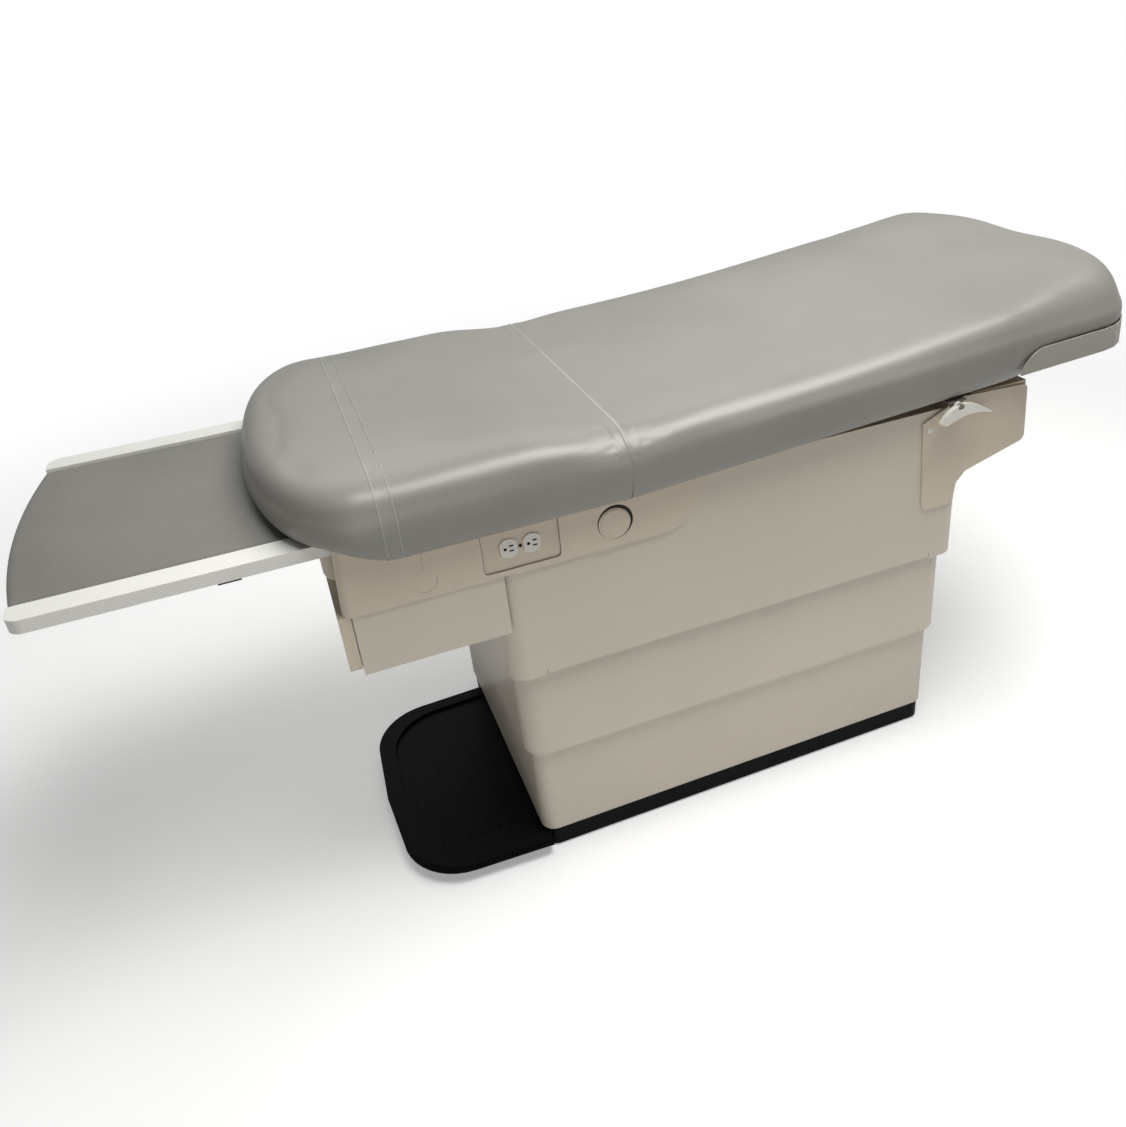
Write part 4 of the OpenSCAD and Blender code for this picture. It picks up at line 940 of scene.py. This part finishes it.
def plate(outline, y0, y1):
    """Points and faces of a plate from an XZ outline between two Y values."""
    count = len(outline)
    points = [(x, y, z) for y in (y0, y1) for x, z in outline]
    faces = [tuple(range(count)), tuple(range(2 * count - 1, count - 1, -1))]
    return points, faces + ring_faces(0, count, count)


def knife(outline, y0, y1):
    """A closed solid to cut with."""
    points, faces = plate(outline, y0, y1)
    mesh = bpy.data.meshes.new("knife")
    mesh.from_pydata(points, [], faces)
    obj = linked("knife", mesh)
    outward(obj)
    return obj


class TABLE_OT_seat_cushion(bpy.types.Operator):
    """Build the seat cushion over its board"""

    bl_idname = "table.seat_cushion"
    bl_label = "Seat cushion"

    def execute(self, context):
        shape = seat_shape()
        near = SEAM - np.array([-SEAM_PRESS, 0.0018, 0.0045, 0.0085, 0.014, 0.022])
        stations = np.concatenate([near, np.linspace(SEAM - 0.034, shape.start, 36)])
        dents = [(SEAM - 0.24, 0.0, 0.19, 0.20, 0.0035)]
        obj = upholstered("seat_upholstery", shape, stations, dents, -1.0)
        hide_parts("seat_cushion")
        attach(obj, "top")
        return {"FINISHED"}


class TABLE_OT_back_cushion(bpy.types.Operator):
    """Build the back cushion with its pillow end over its board"""

    bl_idname = "table.back_cushion"
    bl_label = "Back cushion"

    def execute(self, context):
        shape = back_shape()
        bend = PIVOT_X - HINGE * np.cos(np.radians([0, 12, 24, 36, 50, 66, 82]))
        bend[0] -= SEAM_PRESS
        stations = np.concatenate([bend, np.linspace(PIVOT_X + 0.010, shape.start, 72)])
        dents = [(SEAM + 0.36, 0.0, 0.26, 0.20, 0.003), (HEAD - 0.17, 0.0, 0.09, 0.13, 0.004)]
        obj = upholstered("back_upholstery", shape, stations, dents, 1.0)
        # Room for the two hinge arms of the back frame
        slot = [
            (SEAM - 0.002, BOARD + 0.006),
            (PIVOT_X + 0.062, BOARD + 0.006),
            (PIVOT_X + 0.062, BOARD + 0.018),
            (PIVOT_X + 0.013, PIVOT_Z + 0.003),
            (PIVOT_X + 0.013, PIVOT_Z + 0.010),
            (SEAM - 0.002, PIVOT_Z + 0.010),
        ]
        cut(obj, [knife(slot, -0.211, -0.190), knife(slot, 0.190, 0.211)])
        obj.data.polygons.foreach_set("use_smooth", [True] * len(obj.data.polygons))
        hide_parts("back_cushion")
        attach(obj, "backrest")
        return {"FINISHED"}


class TABLE_OT_hinge_fold(bpy.types.Operator):
    """Lay the strip of cover that bends over the hinge between seat and back"""

    bl_idname = "table.hinge_fold"
    bl_label = "Hinge fold"

    def execute(self, context):
        s = settings("upholstery")
        xs = np.concatenate(
            [
                np.linspace(SEAM - 0.030, SEAM - 0.006, 9),
                SEAM + np.array([-0.004, -0.0025, -0.0012, 0.0, 0.0012, 0.0025, 0.004]),
                np.linspace(SEAM + 0.006, PIVOT_X + 0.018, 12),
            ]
        )
        half = np.array([turned_in(s.roll, a) for a in range(12, 91, 6)])
        half = np.concatenate([half, np.linspace(s.roll, HALF_WIDTH, 22)[1:]])
        ys = np.concatenate([-(HALF_WIDTH - half), (HALF_WIDTH - half)[::-1][1:]])
        inset = np.concatenate([half, half[::-1][1:]])
        top, count = [], len(ys)
        for x in xs:
            line = seat_line(x) if x < SEAM else back_line(x)
            rim = RIM if x < SEAM else back_rim(x)
            z = rim + (line - s.crown * (ys / HALF_WIDTH) ** 2 - rim) * rolled(x, inset, s.roll)
            top.append(np.column_stack([np.full(count, x), ys, z]))
        grid = np.array(top)
        n = np.cross(np.gradient(grid, axis=0), np.gradient(grid, axis=1))
        n /= np.linalg.norm(n, axis=2)[:, :, None]
        n *= np.sign(n[:, :, 2:3] + 1e-9)
        from_seam = np.abs(xs - SEAM)
        ridge = 0.0010 * np.exp(-((from_seam / 0.0018) ** 2))
        ridge -= 0.0005 * np.exp(-(((from_seam - 0.006) / 0.003) ** 2))
        # The strip sinks into both covers at its ends and at its sides, so that no edge shows
        near_end = ease(np.minimum(xs - xs[0], xs[-1] - xs), 0.0, 0.018)
        near_side = ease(np.minimum(np.arange(count), count - 1 - np.arange(count)), 0.0, 2.0)
        cover = near_end[:, None] * near_side[None, :]
        rise = -0.0015 + 0.0023 * cover + ridge[:, None] * near_side[None, :]
        outer = grid + n * rise[:, :, None]
        inner = grid - n * 0.0016
        points = np.vstack([outer.reshape(-1, 3), inner.reshape(-1, 3)])
        rows, size = len(xs), len(xs) * count
        faces = double_sheet_faces(rows, count)
        for r in range(rows - 1):
            for i in (0, count - 1):
                a = r * count + i
                faces.append((a, a + count, size + a + count, size + a))
        for i in range(count - 1):
            for r in (0, rows - 1):
                a = r * count + i
                faces.append((a, size + a, size + a + 1, a + 1))
        obj = new_object("hinge_fold", points, faces, "vinyl")
        p, n = vertex_rows(obj), vertex_rows(obj, "normal")
        for hand in (-1.0, 1.0):
            for dx, slant in ((0.010, 0.8), (-0.010, 0.7)):
                spot = (SEAM + dx, hand * (HALF_WIDTH - 0.018), back_rim(SEAM) + 0.042)
                way = (math.copysign(1.0, dx), 0.0, -slant)
                p = pinch(p, n, spot, way, 0.018, 0.0009, 0.004)
        set_coordinates(obj, p)
        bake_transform(obj)
        return {"FINISHED"}


class TABLE_OT_extension_pad(bpy.types.Operator):
    """Build the thin pad of the foot extension"""

    bl_idname = "table.extension_pad"
    bl_label = "Extension pad"

    def execute(self, context):
        s = settings("upholstery")
        w, bow, radius = PAD_HI.y - 0.0012, 0.024, 0.008
        steps = np.array([0.0, 0.0004, 0.0014, 0.003, 0.0052, 0.008, 0.013])
        inner = np.linspace(0.013, 2 * w - 0.013, 40)
        across = np.concatenate([steps, inner[1:-1], 2 * w - steps[::-1]]) - w
        length = PAD_HI.x - PAD_LO.x
        along = np.concatenate([steps, np.linspace(0.013, length - 0.013, 36)[1:-1], length - steps[::-1]])
        z0, z1 = PAD_LO.z, PAD_HI.z - 0.001
        middle = z0 + 0.009
        rows, columns = len(along), len(across)
        top, under = [], []
        for a in along:
            bowed = PAD_LO.x + bow * (across / w) ** 2
            x = bowed + (PAD_HI.x - bowed) * (a / length)
            edge = np.minimum(np.minimum(a, length - a), np.minimum(across + w, w - across))
            rise = dome(edge / radius)
            padding = 0.0012 * ease(edge, 0.0, 0.07)
            top.append(np.column_stack([x, across, middle + (z1 - middle) * rise + padding]))
            under.append(np.column_stack([x, across, middle - (middle - z0) * dome(edge / 0.004)]))
        points = np.vstack(top + under)
        obj = new_object("extension_upholstery", points, double_sheet_faces(rows, columns), "vinyl")
        obj.data.materials[0] = bpy.data.materials["foot_pad_vinyl"]
        p = vertex_rows(obj)
        settle(obj, 1.0 - ease(p[:, 2], z1 - 0.004, z1), 0.0025, s.pressure)
        subdivided(obj)
        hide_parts("extension_pad")
        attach(obj, "foot_extension")
        return {"FINISHED"}


class TABLE_OT_clear_band(bpy.types.Operator):
    """Lay the clear band over the foot part of the seat"""

    bl_idname = "table.clear_band"
    bl_label = "Clear band"

    def execute(self, context):
        s = settings("upholstery")
        shape = seat_shape()
        seat = BVHTree.FromObject(bpy.data.objects["seat_upholstery"], context.evaluated_depsgraph_get())
        middle = (BAND_LO.x + BAND_HI.x) / 2
        section = []
        low = float(shape.skirt(np.array(middle)))
        for a in (88, 74, 60, 46, 30, 14):
            section.append((turned_in(LOW_ROLL, a), RIM - (RIM - low) * math.sin(math.radians(a))))
        insets = [turned_in(s.roll, a) for a in range(0, 91, 6)]
        for inset in [*insets, *np.linspace(s.roll, HALF_WIDTH, 16)[1:]]:
            full = SEAT_TOP - s.crown * (1 - inset / HALF_WIDTH) ** 2 - RIM
            section.append((inset, RIM + full * float(rolled(middle, inset, s.roll))))
        half = [(-(HALF_WIDTH - i), z) for i, z in section]
        line = np.array(half + [(-y, z) for y, z in half[::-1][1:]])
        tangent = np.gradient(line, axis=0)
        n = np.column_stack([-tangent[:, 1], tangent[:, 0]])
        n /= np.linalg.norm(n, axis=1)[:, None]
        n *= np.sign((n * (line - np.array([0.0, RIM - 0.02]))).sum(1))[:, None]
        width = BAND_HI.x - BAND_LO.x
        edge = ((0.0, 0.0006), (0.0004, 0.0016), (0.0012, 0.0020), (0.0020, 0.0016), (0.0028, 0.0011))
        profile = [*edge, *((width - dx, lift) for dx, lift in reversed(edge))]
        profile += [(width - 0.0004, 0.0004), (0.0004, 0.0004)]
        points, faces = [], []
        for (y, z), (ny, nz) in zip(line, n):
            out = Vector((0.0, ny, nz))
            for dx, lift in profile:
                base = Vector((BAND_LO.x + dx, y, z))
                cover = seat.ray_cast(base + out * 0.03, -out, 0.06)[0]
                points.append((base if cover is None else cover) + out * lift)
        count = len(profile)
        for r in range(len(line) - 1):
            faces += ring_faces(r * count, (r + 1) * count, count)
        faces.append(tuple(range(count)))
        faces.append(tuple(range(len(points) - 1, len(points) - count - 1, -1)))
        obj = new_object("clear_band", points, faces, "clear_band")
        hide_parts("paper_strap")
        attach(obj, "top")
        return {"FINISHED"}


# --- repeated fittings ---


def spread_tree(name, slot):
    """Geometry nodes that set a small part on every point of a mesh, turned by an attribute."""
    tree = bpy.data.node_groups.new(name, "GeometryNodeTree")
    tree.interface.new_socket(name="Geometry", in_out="OUTPUT", socket_type="NodeSocketGeometry")
    inputs = {"Geometry": "Geometry", "Part": "Object", "Size": "Float", "Wobble": "Float", "Seed": "Int"}
    for title, kind in inputs.items():
        tree.interface.new_socket(name=title, in_out="INPUT", socket_type="NodeSocket" + kind)
    g = Graph(tree)
    geometry, part, size, wobble, seed = g.values("NodeGroupInput", inputs)
    turn = g.node("GeometryNodeInputNamedAttribute", {"data_type": "FLOAT_VECTOR"}, {"Name": "turn"})
    placed = {
        "Points": g.node("GeometryNodeMeshToPoints", {}, {"Mesh": geometry}),
        "Instance": g.node("GeometryNodeObjectInfo", {}, {"Object": part}, "Geometry"),
        "Rotation": turn,
        "Scale": size,
    }
    placed = g.node("GeometryNodeInstanceOnPoints", {}, placed)
    chance = g.node("FunctionNodeRandomValue", {"data_type": "FLOAT"}, {2: -1.0, 3: 1.0, "Seed": seed}, 1)
    spin = g.node("ShaderNodeCombineXYZ", {}, {"Z": chance * wobble})
    turned = g.node("GeometryNodeRotateInstances", {}, {"Instances": placed, "Rotation": spin})
    real = g.node("GeometryNodeRealizeInstances", {}, {"Geometry": turned})
    painted = g.node("GeometryNodeSetMaterial", {}, {"Geometry": real, "Material": finish_of(slot)})
    g.node("NodeGroupOutput", {}, {"Geometry": painted}, None)
    return tree


def spread(name, part, spots, turns, slot, body, wobble=0.0):
    """Copies of a small part at spots, baked into one mesh that rides on a body."""
    tree = spread_tree(name + "_layout", slot)
    mesh = bpy.data.meshes.new(name)
    mesh.from_pydata([tuple(map(float, s)) for s in spots], [], [])
    turn = mesh.attributes.new("turn", "FLOAT_VECTOR", "POINT")
    turn.data.foreach_set("vector", np.asarray(turns, np.float32).ravel())
    obj = linked(name, mesh)
    layout = obj.modifiers.new("layout", "NODES")
    layout.node_group = tree
    ids = {i.name: i.identifier for i in tree.interface.items_tree if i.in_out == "INPUT"}
    for title, value in (("Part", part), ("Size", 1.0), ("Wobble", wobble), ("Seed", SEED)):
        layout[ids[title]] = value
    baked(obj)
    if len(obj.data.polygons) < len(spots):
        raise RuntimeError(f"{name}: the layout made too few faces")
    bpy.data.objects.remove(part)
    if "turn" in obj.data.attributes:
        obj.data.attributes.remove(obj.data.attributes["turn"])
    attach(obj, body)


def turned_part(name, profile, sides, slot):
    """A small turned part about +Z from (radius, height) pairs; the first and last radius are 0."""
    points, faces = [], []
    for r, z in profile:
        if r == 0:
            points.append((0.0, 0.0, z))
        else:
            points += [(x, y, z) for x, y in arc(0.0, 0.0, r, 0, 360, sides)[:-1]]
    index = [0]
    for r, _ in profile[:-1]:
        index.append(index[-1] + (1 if r == 0 else sides))
    for level, (a, b) in enumerate(zip(index, index[1:])):
        quads = ring_faces(a, b, sides)
        if profile[level][0] == 0:
            quads = [(a, b + k, b + (k + 1) % sides) for k in range(sides)]
        elif profile[level + 1][0] == 0:
            quads = [(a + k, a + (k + 1) % sides, b) for k in range(sides)]
        faces += quads
    return new_object(name, points, faces, slot, smooth=False)


def joined(obj, others):
    """One object from several meshes that share a finish."""
    work = bmesh.new()
    for o in [obj, *others]:
        work.from_mesh(o.data)
    work.to_mesh(obj.data)
    work.free()
    for o in others:
        bpy.data.objects.remove(o)
    return obj


def block(name, lo, hi, slot):
    """A small block between two corners."""
    points = [(x, y, z) for x in (lo[0], hi[0]) for y in (lo[1], hi[1]) for z in (lo[2], hi[2])]
    faces = [(0, 1, 3, 2), (4, 6, 7, 5), (0, 4, 5, 1), (2, 3, 7, 6), (0, 2, 6, 4), (1, 5, 7, 3)]
    return new_object(name, points, faces, slot, smooth=False)


class TABLE_OT_hem_staples(bpy.types.Operator):
    """Staple the cover under both boards"""

    bl_idname = "table.hem_staples"
    bl_label = "Hem staples"

    def execute(self, context):
        wire, half, crown, leg = 0.0006, 0.006, -0.0011, 0.0016
        sunk = 0.0002

        def staple():
            top = block("staple_crown", (-half, -wire, crown), (half, wire, 0.0), "steel")
            legs = [
                block("staple_leg", (x - wire, -wire, crown), (x + wire, wire, leg), "steel")
                for x in (-half, half)
            ]
            return joined(top, legs)

        y = SEAT_BOARD_HI.y - 0.012
        seat_row = np.arange(SEAM - 0.040, FOOT + 0.190, -0.034)
        back_row = np.arange(PIVOT_X + 0.080, BACK_BOARD_END - 0.020, 0.034)
        for name, row, level, tilt, body in (
            ("seat_staples", seat_row, level_at(BOARD), 0.0, "top"),
            ("back_staples", back_row, back_floor, -math.atan(SLOPE), "backrest"),
        ):
            spots = [(x, s * y, float(level(x)) - sunk) for x in row for s in (-1, 1)]
            spread(name, staple(), spots, [(0.0, tilt, 0.0)] * len(spots), "steel", body, 0.12)
        return {"FINISHED"}


class TABLE_OT_step_tread(bpy.types.Operator):
    """Raise the non-slip pips on the foot platform"""

    bl_idname = "table.step_tread"
    bl_label = "Step tread"

    def execute(self, context):
        level = PLATFORM_HI.z - 0.0071
        pitch_x, pitch_y = 0.019, 0.022
        profile = [(0, -0.0004), (0.0032, -0.0004), (0.0026, 0.0009), (0.0012, 0.0014), (0, 0.0014)]
        pip = turned_part("pip", profile, 8, "black_plastic")
        centre = (PLATFORM_LO.y + PLATFORM_HI.y) / 2
        spots = []
        for i, x in enumerate(np.arange(PLATFORM_LO.x + 0.060, PLATFORM_LO.x + 0.225, pitch_x)):
            for y in np.arange(centre - 0.165, centre + 0.166, pitch_y):
                spots.append((x - 0.0035, y + (pitch_y / 2 if i % 2 else 0.0), level))
        spread("tread_pips", pip, spots, [(0, 0, 0)] * len(spots), "black_plastic", "base")
        return {"FINISHED"}


class TABLE_OT_cover_caps(bpy.types.Operator):
    """Fit the screw caps of the head cover plates"""

    bl_idname = "table.cover_caps"
    bl_label = "Cover caps"

    def execute(self, context):
        profile = [(0, -0.0004), (0.0055, -0.0004), (0.0055, 0.0008), (0.0048, 0.0018)]
        profile += [(0.0028, 0.0024), (0, 0.0026)]
        cap = turned_part("cap", profile, 20, "white_metal")
        x = COVER_LO.x + 0.016
        z = COVER_HI.z - 0.052
        spots = [(x, COVER_LO.y, z), (x, COVER_HI.y, z)]
        turns = [(math.radians(90), 0, 0), (math.radians(-90), 0, 0)]
        spread("cover_caps", cap, spots, turns, "white_metal", "top")
        return {"FINISHED"}


def upright(name, outline, y0, y1, slot, bevel=0.0):
    """A closed plate from an XZ outline between two Y values, with softened edges."""
    obj = new_object(name, *plate(outline, y0, y1), slot, smooth=False)
    if bevel:
        soft = obj.modifiers.new("soft", "BEVEL")
        soft.width = bevel
        soft.segments = 3
        soft.limit_method = "ANGLE"
        soft.angle_limit = math.radians(40)
        baked(obj)
        obj.data.polygons.foreach_set("use_smooth", [True] * len(obj.data.polygons))
        obj.data.set_sharp_from_angle(angle=math.radians(35))
    return obj


class TABLE_OT_socket_slot_shade(bpy.types.Operator):
    """Set dark plates into the outlet's slots, ground holes and screw hole: painted shade for the shadow
    inside them
    """

    bl_idname = "table.socket_contacts"
    bl_label = "Socket slot shade"

    def execute(self, context):
        x0, z0 = (OUTLET_LO.x + OUTLET_HI.x) / 2, (OUTLET_LO.z + OUTLET_HI.z) / 2
        pitch, slot_half, slot_off = 0.0195, (0.0036, 0.00125), (0.0044, 0.0046)
        proud, deep, screw_deep = 0.0002, 0.0050, 0.0035

        # Each plate is painted shade: a dark sheet just proud of the face that fills an opening where there
        # is only shadow
        def well(outline, depth=deep):
            wells.append(upright("well", outline, OUTLET_LO.y - proud, OUTLET_LO.y + depth, "black_plastic"))

        wells = []
        for x in (x0 - pitch, x0 + pitch):
            for side in (-1, 1):
                centre = x + slot_off[0], z0 + side * slot_off[1]
                corners = ((-1, -1), (1, -1), (1, 1), (-1, 1))
                well([(centre[0] + a * slot_half[0], centre[1] + b * slot_half[1]) for a, b in corners])
            well(arc(x - 0.006, z0, 0.0027, 0, 360, 20)[:-1])
        well(arc(x0, z0, 0.0024, 0, 360, 20)[:-1], screw_deep)
        obj = joined(wells[0], wells[1:])
        obj.name = obj.data.name = "socket_contacts"
        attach(obj, "top")
        return {"FINISHED"}


class TABLE_OT_window_shadow_line(bpy.types.Operator):
    """Lay a thin dark line round the outlet's window in the near panel: painted shadow in the gap round the
    outlet plate
    """

    bl_idname = "table.window_gasket"
    bl_label = "Window shadow line"

    def execute(self, context):
        corner, half_gap, half_width = 0.0075, 0.00025, 0.0004

        top, z = PANEL_HI.z - 0.001, PLATE_LO.z + corner

        def path(off):
            reach = half_gap + off
            first = arc(PLATE_LO.x + corner, z, corner + reach, 180, 90, 8)
            second = arc(PLATE_HI.x - corner, z, corner + reach, 270, 90, 8)
            return [(PLATE_LO.x - reach, top), *first, *second, (PLATE_HI.x + reach, top)]

        outline = path(half_width) + path(-half_width)[::-1]
        # Painted shadow: a dark strip just proud of the panel over the gap, in the taupe darkened by painted
        # shade
        obj = upright("window_gasket", outline, PANEL_LO.y - 0.00015, PANEL_LO.y + 0.0014, "rubber")
        obj.data.materials[0] = bpy.data.materials["bracket_film"]
        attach(obj, "top")
        return {"FINISHED"}


class TABLE_OT_cap_shadow(bpy.types.Operator):
    """Lay a dark crescent in the gap round the push cap: painted shadow of the hole's wall, widest towards
    the top and +X
    """

    bl_idname = "table.cap_gasket"
    bl_label = "Cap shadow"

    def execute(self, context):
        x0, z0 = (CAP_LO.x + CAP_HI.x) / 2, (CAP_LO.z + CAP_HI.z) / 2
        radius = (CAP_HI.x - CAP_LO.x) / 2
        turns = 72
        points, faces = [], []
        for k in range(turns):
            a = 2 * math.pi * k / turns
            c, s = math.cos(a), math.sin(a)
            inner = (x0 + (radius + 0.0003) * c, z0 + (radius + 0.0003) * s)
            # Painted shadow: the outer edge is shifted up and towards +X, so the dark crescent is widest
            # there
            outer = (x0 + 0.002 + (radius + 0.0033) * c, z0 + 0.002 + (radius + 0.0033) * s)
            for (x, z), depth in ((inner, 0.0012), (outer, 0.0008), (outer, 0.0046), (inner, 0.0046)):
                points.append((x, PANEL_LO.y + depth, z))
            faces += ring_faces(4 * k, 4 * ((k + 1) % turns), 4)
        obj = new_object("cap_gasket", points, faces, "rubber")
        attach(obj, "top")
        return {"FINISHED"}


class TABLE_OT_stirrup_caps(bpy.types.Operator):
    """Fit the moulded end caps over the stirrup arms' tabs"""

    bl_idname = "table.stirrup_caps"
    bl_label = "Stirrup end caps"

    def execute(self, context):
        foot, top = TAB_LO.x - 0.0011, TAB_HI.z + 0.0011
        r = 0.0211
        centre_x, centre_z = foot + r, top - 0.0261
        inner = foot + 0.0361
        outline = [(inner, centre_z - r), (inner, top), (foot, top), *arc(centre_x, centre_z, r, 180, 90, 8)]
        middle = (TAB_LO.y + TAB_HI.y) / 2
        for name, hand, body in (("near", 1.0, "stirrup_near_arm"), ("far", -1.0, "stirrup_far_arm")):
            y = middle * hand
            obj = upright("stirrup_cap_" + name, outline, y - 0.0152, y + 0.0152, "cream_plastic", 0.0022)
            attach(obj, body)
        return {"FINISHED"}


class TABLE_OT_frame_finishes(bpy.types.Operator):
    """Give every part of the frame its finish"""

    bl_idname = "table.frame_finishes"
    bl_label = "Frame finishes"

    def execute(self, context):
        slots = {row["node"]: row["material_slot"] for row in frame["record"]["subparts"]}
        own = {
            "release_lever_near": "handle_plastic",
            "release_lever_far": "handle_plastic",
            "duplex_outlet": "handle_plastic",
            # painted shade: the brackets get the darkened taupe
            "lever_brackets": "bracket_film",
            # partly painted shade: the pan's grey is darkened
            "paper_pan": "pan_plastic",
        }
        for name, obj in frame["nodes"].items():
            finish = finish_of(slots[name])
            if name in own:
                finish = bpy.data.materials[own[name]]
            materials = obj.data.materials
            if not materials:
                materials.append(finish)
            for i in range(len(materials)):
                materials[i] = finish
        return {"FINISHED"}


# --- studio ---


class TABLE_OT_studio(bpy.types.Operator):
    """Set the camera, the lights, the floor and the backdrop"""

    bl_idname = "table.studio"
    bl_label = "Studio"

    def camera(self, scene):
        """The photograph's viewpoint: place, turn, focal length and shift, the last two in its pixels."""
        azimuth, elevation, tip = (math.radians(v) for v in (-18.72, 27.95, -5.37))
        wide, focal, middle = 1127.0, 980.8, (602.2, 495.9)
        level = math.cos(elevation)
        ahead = Vector((-math.sin(azimuth) * level, math.cos(azimuth) * level, -math.sin(elevation)))
        right = ahead.cross(Vector((0, 0, 1))).normalized()
        up = right.cross(ahead).normalized()
        c, s = math.cos(tip), math.sin(tip)
        right, up = right * c + up * s, up * c - right * s
        data = bpy.data.cameras.new("photo_view")
        view = linked("photo_view", data)
        turn = Matrix((right, up, -ahead)).transposed().to_4x4()
        view.matrix_world = Matrix.Translation((-0.7140, -1.6395, 1.49165)) @ turn
        data.sensor_width = 36.0
        data.lens = focal * data.sensor_width / wide
        data.shift_x = -(middle[0] - 563.0) / wide
        data.shift_y = (middle[1] - 563.5) / wide
        data.clip_start, data.clip_end = 0.05, 100.0
        scene.camera = view

    def lamp(self, name, place, aim, size, watts, tint):
        data = bpy.data.lights.new(name, "AREA")
        data.shape = "RECTANGLE"
        data.size, data.size_y = size
        data.energy = watts
        data.color = tint
        obj = linked(name, data)
        obj.location = place
        obj.rotation_mode = "QUATERNION"
        obj.rotation_quaternion = (Vector(aim) - Vector(place)).to_track_quat("-Z", "Y")

    def world(self, scene, ambient):
        """White to the camera, about a third of it to reflections, and dim as a light."""
        world = bpy.data.worlds.new("white_room")
        scene.world = world
        world.use_nodes = True
        g = Graph(world.node_tree)
        span = {"Value": g.seen(0.36), "To Min": ambient, "To Max": 1.0}
        strength = g.node("ShaderNodeMapRange", {}, span, "Result")
        light = g.node("ShaderNodeBackground", {}, {"Color": WHITE, "Strength": strength})
        g.node("ShaderNodeOutputWorld", {}, {"Surface": light}, None)

    def floor(self, lift):
        """A pale floor that the camera sees as white away from the table, and reflections half so."""
        f = Finish("studio_floor")
        speck = f.noise(4.0, 3.0, 0.5)
        reach = (f.axis("X") * f.axis("X") + f.axis("Y") * f.axis("Y")) ** 0.5
        seen = f.seen(0.5)
        grey = (0.93, 0.93, 0.93, 1.0)
        paint = {"Base Color": grey, "Roughness": 0.7 + 0.1 * speck, "Specular IOR Level": 0.2}
        lit = f.node("ShaderNodeBsdfPrincipled", {}, paint)
        pale = f.node("ShaderNodeEmission", {}, {"Color": WHITE, "Strength": lift})
        both = f.node("ShaderNodeAddShader", {}, {0: lit, 1: pale})
        near = f.node("ShaderNodeMixShader", {}, {0: seen, 1: lit, 2: both})
        white = f.node("ShaderNodeEmission", {}, {"Color": WHITE, "Strength": 1.0})
        far = reach.step(1.5, 3.4) * seen
        material = f.end(f.node("ShaderNodeMixShader", {}, {0: far, 1: near, 2: white}))
        mesh = bpy.data.meshes.new("studio_floor")
        r = 14.0
        mesh.from_pydata([(-r, -r, 0), (r, -r, 0), (r, r, 0), (-r, r, 0)], [], [(0, 1, 2, 3)])
        mesh.materials.append(material)
        linked("studio_floor", mesh)

    def execute(self, context):
        scene, s = context.scene, settings("studio")
        self.camera(scene)
        white, warm = (1.0, 1.0, 0.985), (1.0, 0.95, 0.88)
        for lamp in (
            ("overhead_light", (0.5, -0.6, 3.1), (0.1, 0.0, 0.8), (2.4, 1.4), s.key_power, white),
            ("rear_light", (0.2, 3.0, 3.6), (0.0, 0.0, 0.8), (4.0, 1.6), s.rear_power, white),
            ("front_light", (-1.5, -3.9, 0.8), (-0.5, 0.0, 0.3), (1.8, 1.0), s.front_power, warm),
        ):
            self.lamp(*lamp)
        self.world(scene, s.ambient)
        self.floor(s.floor_lift)
        scene.view_settings.view_transform = "Standard"
        return {"FINISHED"}


class TABLE_PT_sidebar(bpy.types.Panel):
    """Settings and pieces of the examination table"""

    bl_label = "Examination table"
    bl_idname = "TABLE_PT_sidebar"
    bl_space_type = "VIEW_3D"
    bl_region_type = "UI"
    bl_category = "Exam Table"

    def draw(self, context):
        layout = self.layout
        for name in GROUPS:
            box = layout.box()
            group = getattr(context.scene, name)
            box.label(text=name.removeprefix("table_").title())
            for setting in group.__annotations__:
                box.prop(group, setting)
        column = layout.column(align=True)
        for operator in OPERATORS:
            column.operator(operator.bl_idname)


GROUPS = {
    "table_upholstery": UpholsterySettings,
    "table_finish": FinishSettings,
    "table_studio": StudioSettings,
}
OPERATORS = (
    TABLE_OT_frame_finishes,
    TABLE_OT_seat_cushion,
    TABLE_OT_back_cushion,
    TABLE_OT_hinge_fold,
    TABLE_OT_extension_pad,
    TABLE_OT_clear_band,
    TABLE_OT_hem_staples,
    TABLE_OT_step_tread,
    TABLE_OT_cover_caps,
    TABLE_OT_socket_slot_shade,
    TABLE_OT_window_shadow_line,
    TABLE_OT_cap_shadow,
    TABLE_OT_stirrup_caps,
    TABLE_OT_studio,
)


def register():
    for group in GROUPS.values():
        bpy.utils.register_class(group)
    for name, group in GROUPS.items():
        setattr(bpy.types.Scene, name, bpy.props.PointerProperty(type=group))
    for operator in OPERATORS:
        bpy.utils.register_class(operator)
    bpy.utils.register_class(TABLE_PT_sidebar)


def unregister():
    bpy.utils.unregister_class(TABLE_PT_sidebar)
    for operator in reversed(OPERATORS):
        bpy.utils.unregister_class(operator)
    for name in GROUPS:
        delattr(bpy.types.Scene, name)
    for group in reversed(list(GROUPS.values())):
        bpy.utils.unregister_class(group)


def main():
    register()
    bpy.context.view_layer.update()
    for operator in OPERATORS:
        area, name = operator.bl_idname.split(".")
        getattr(getattr(bpy.ops, area), name)()


if __name__ == "__main__":
    main()
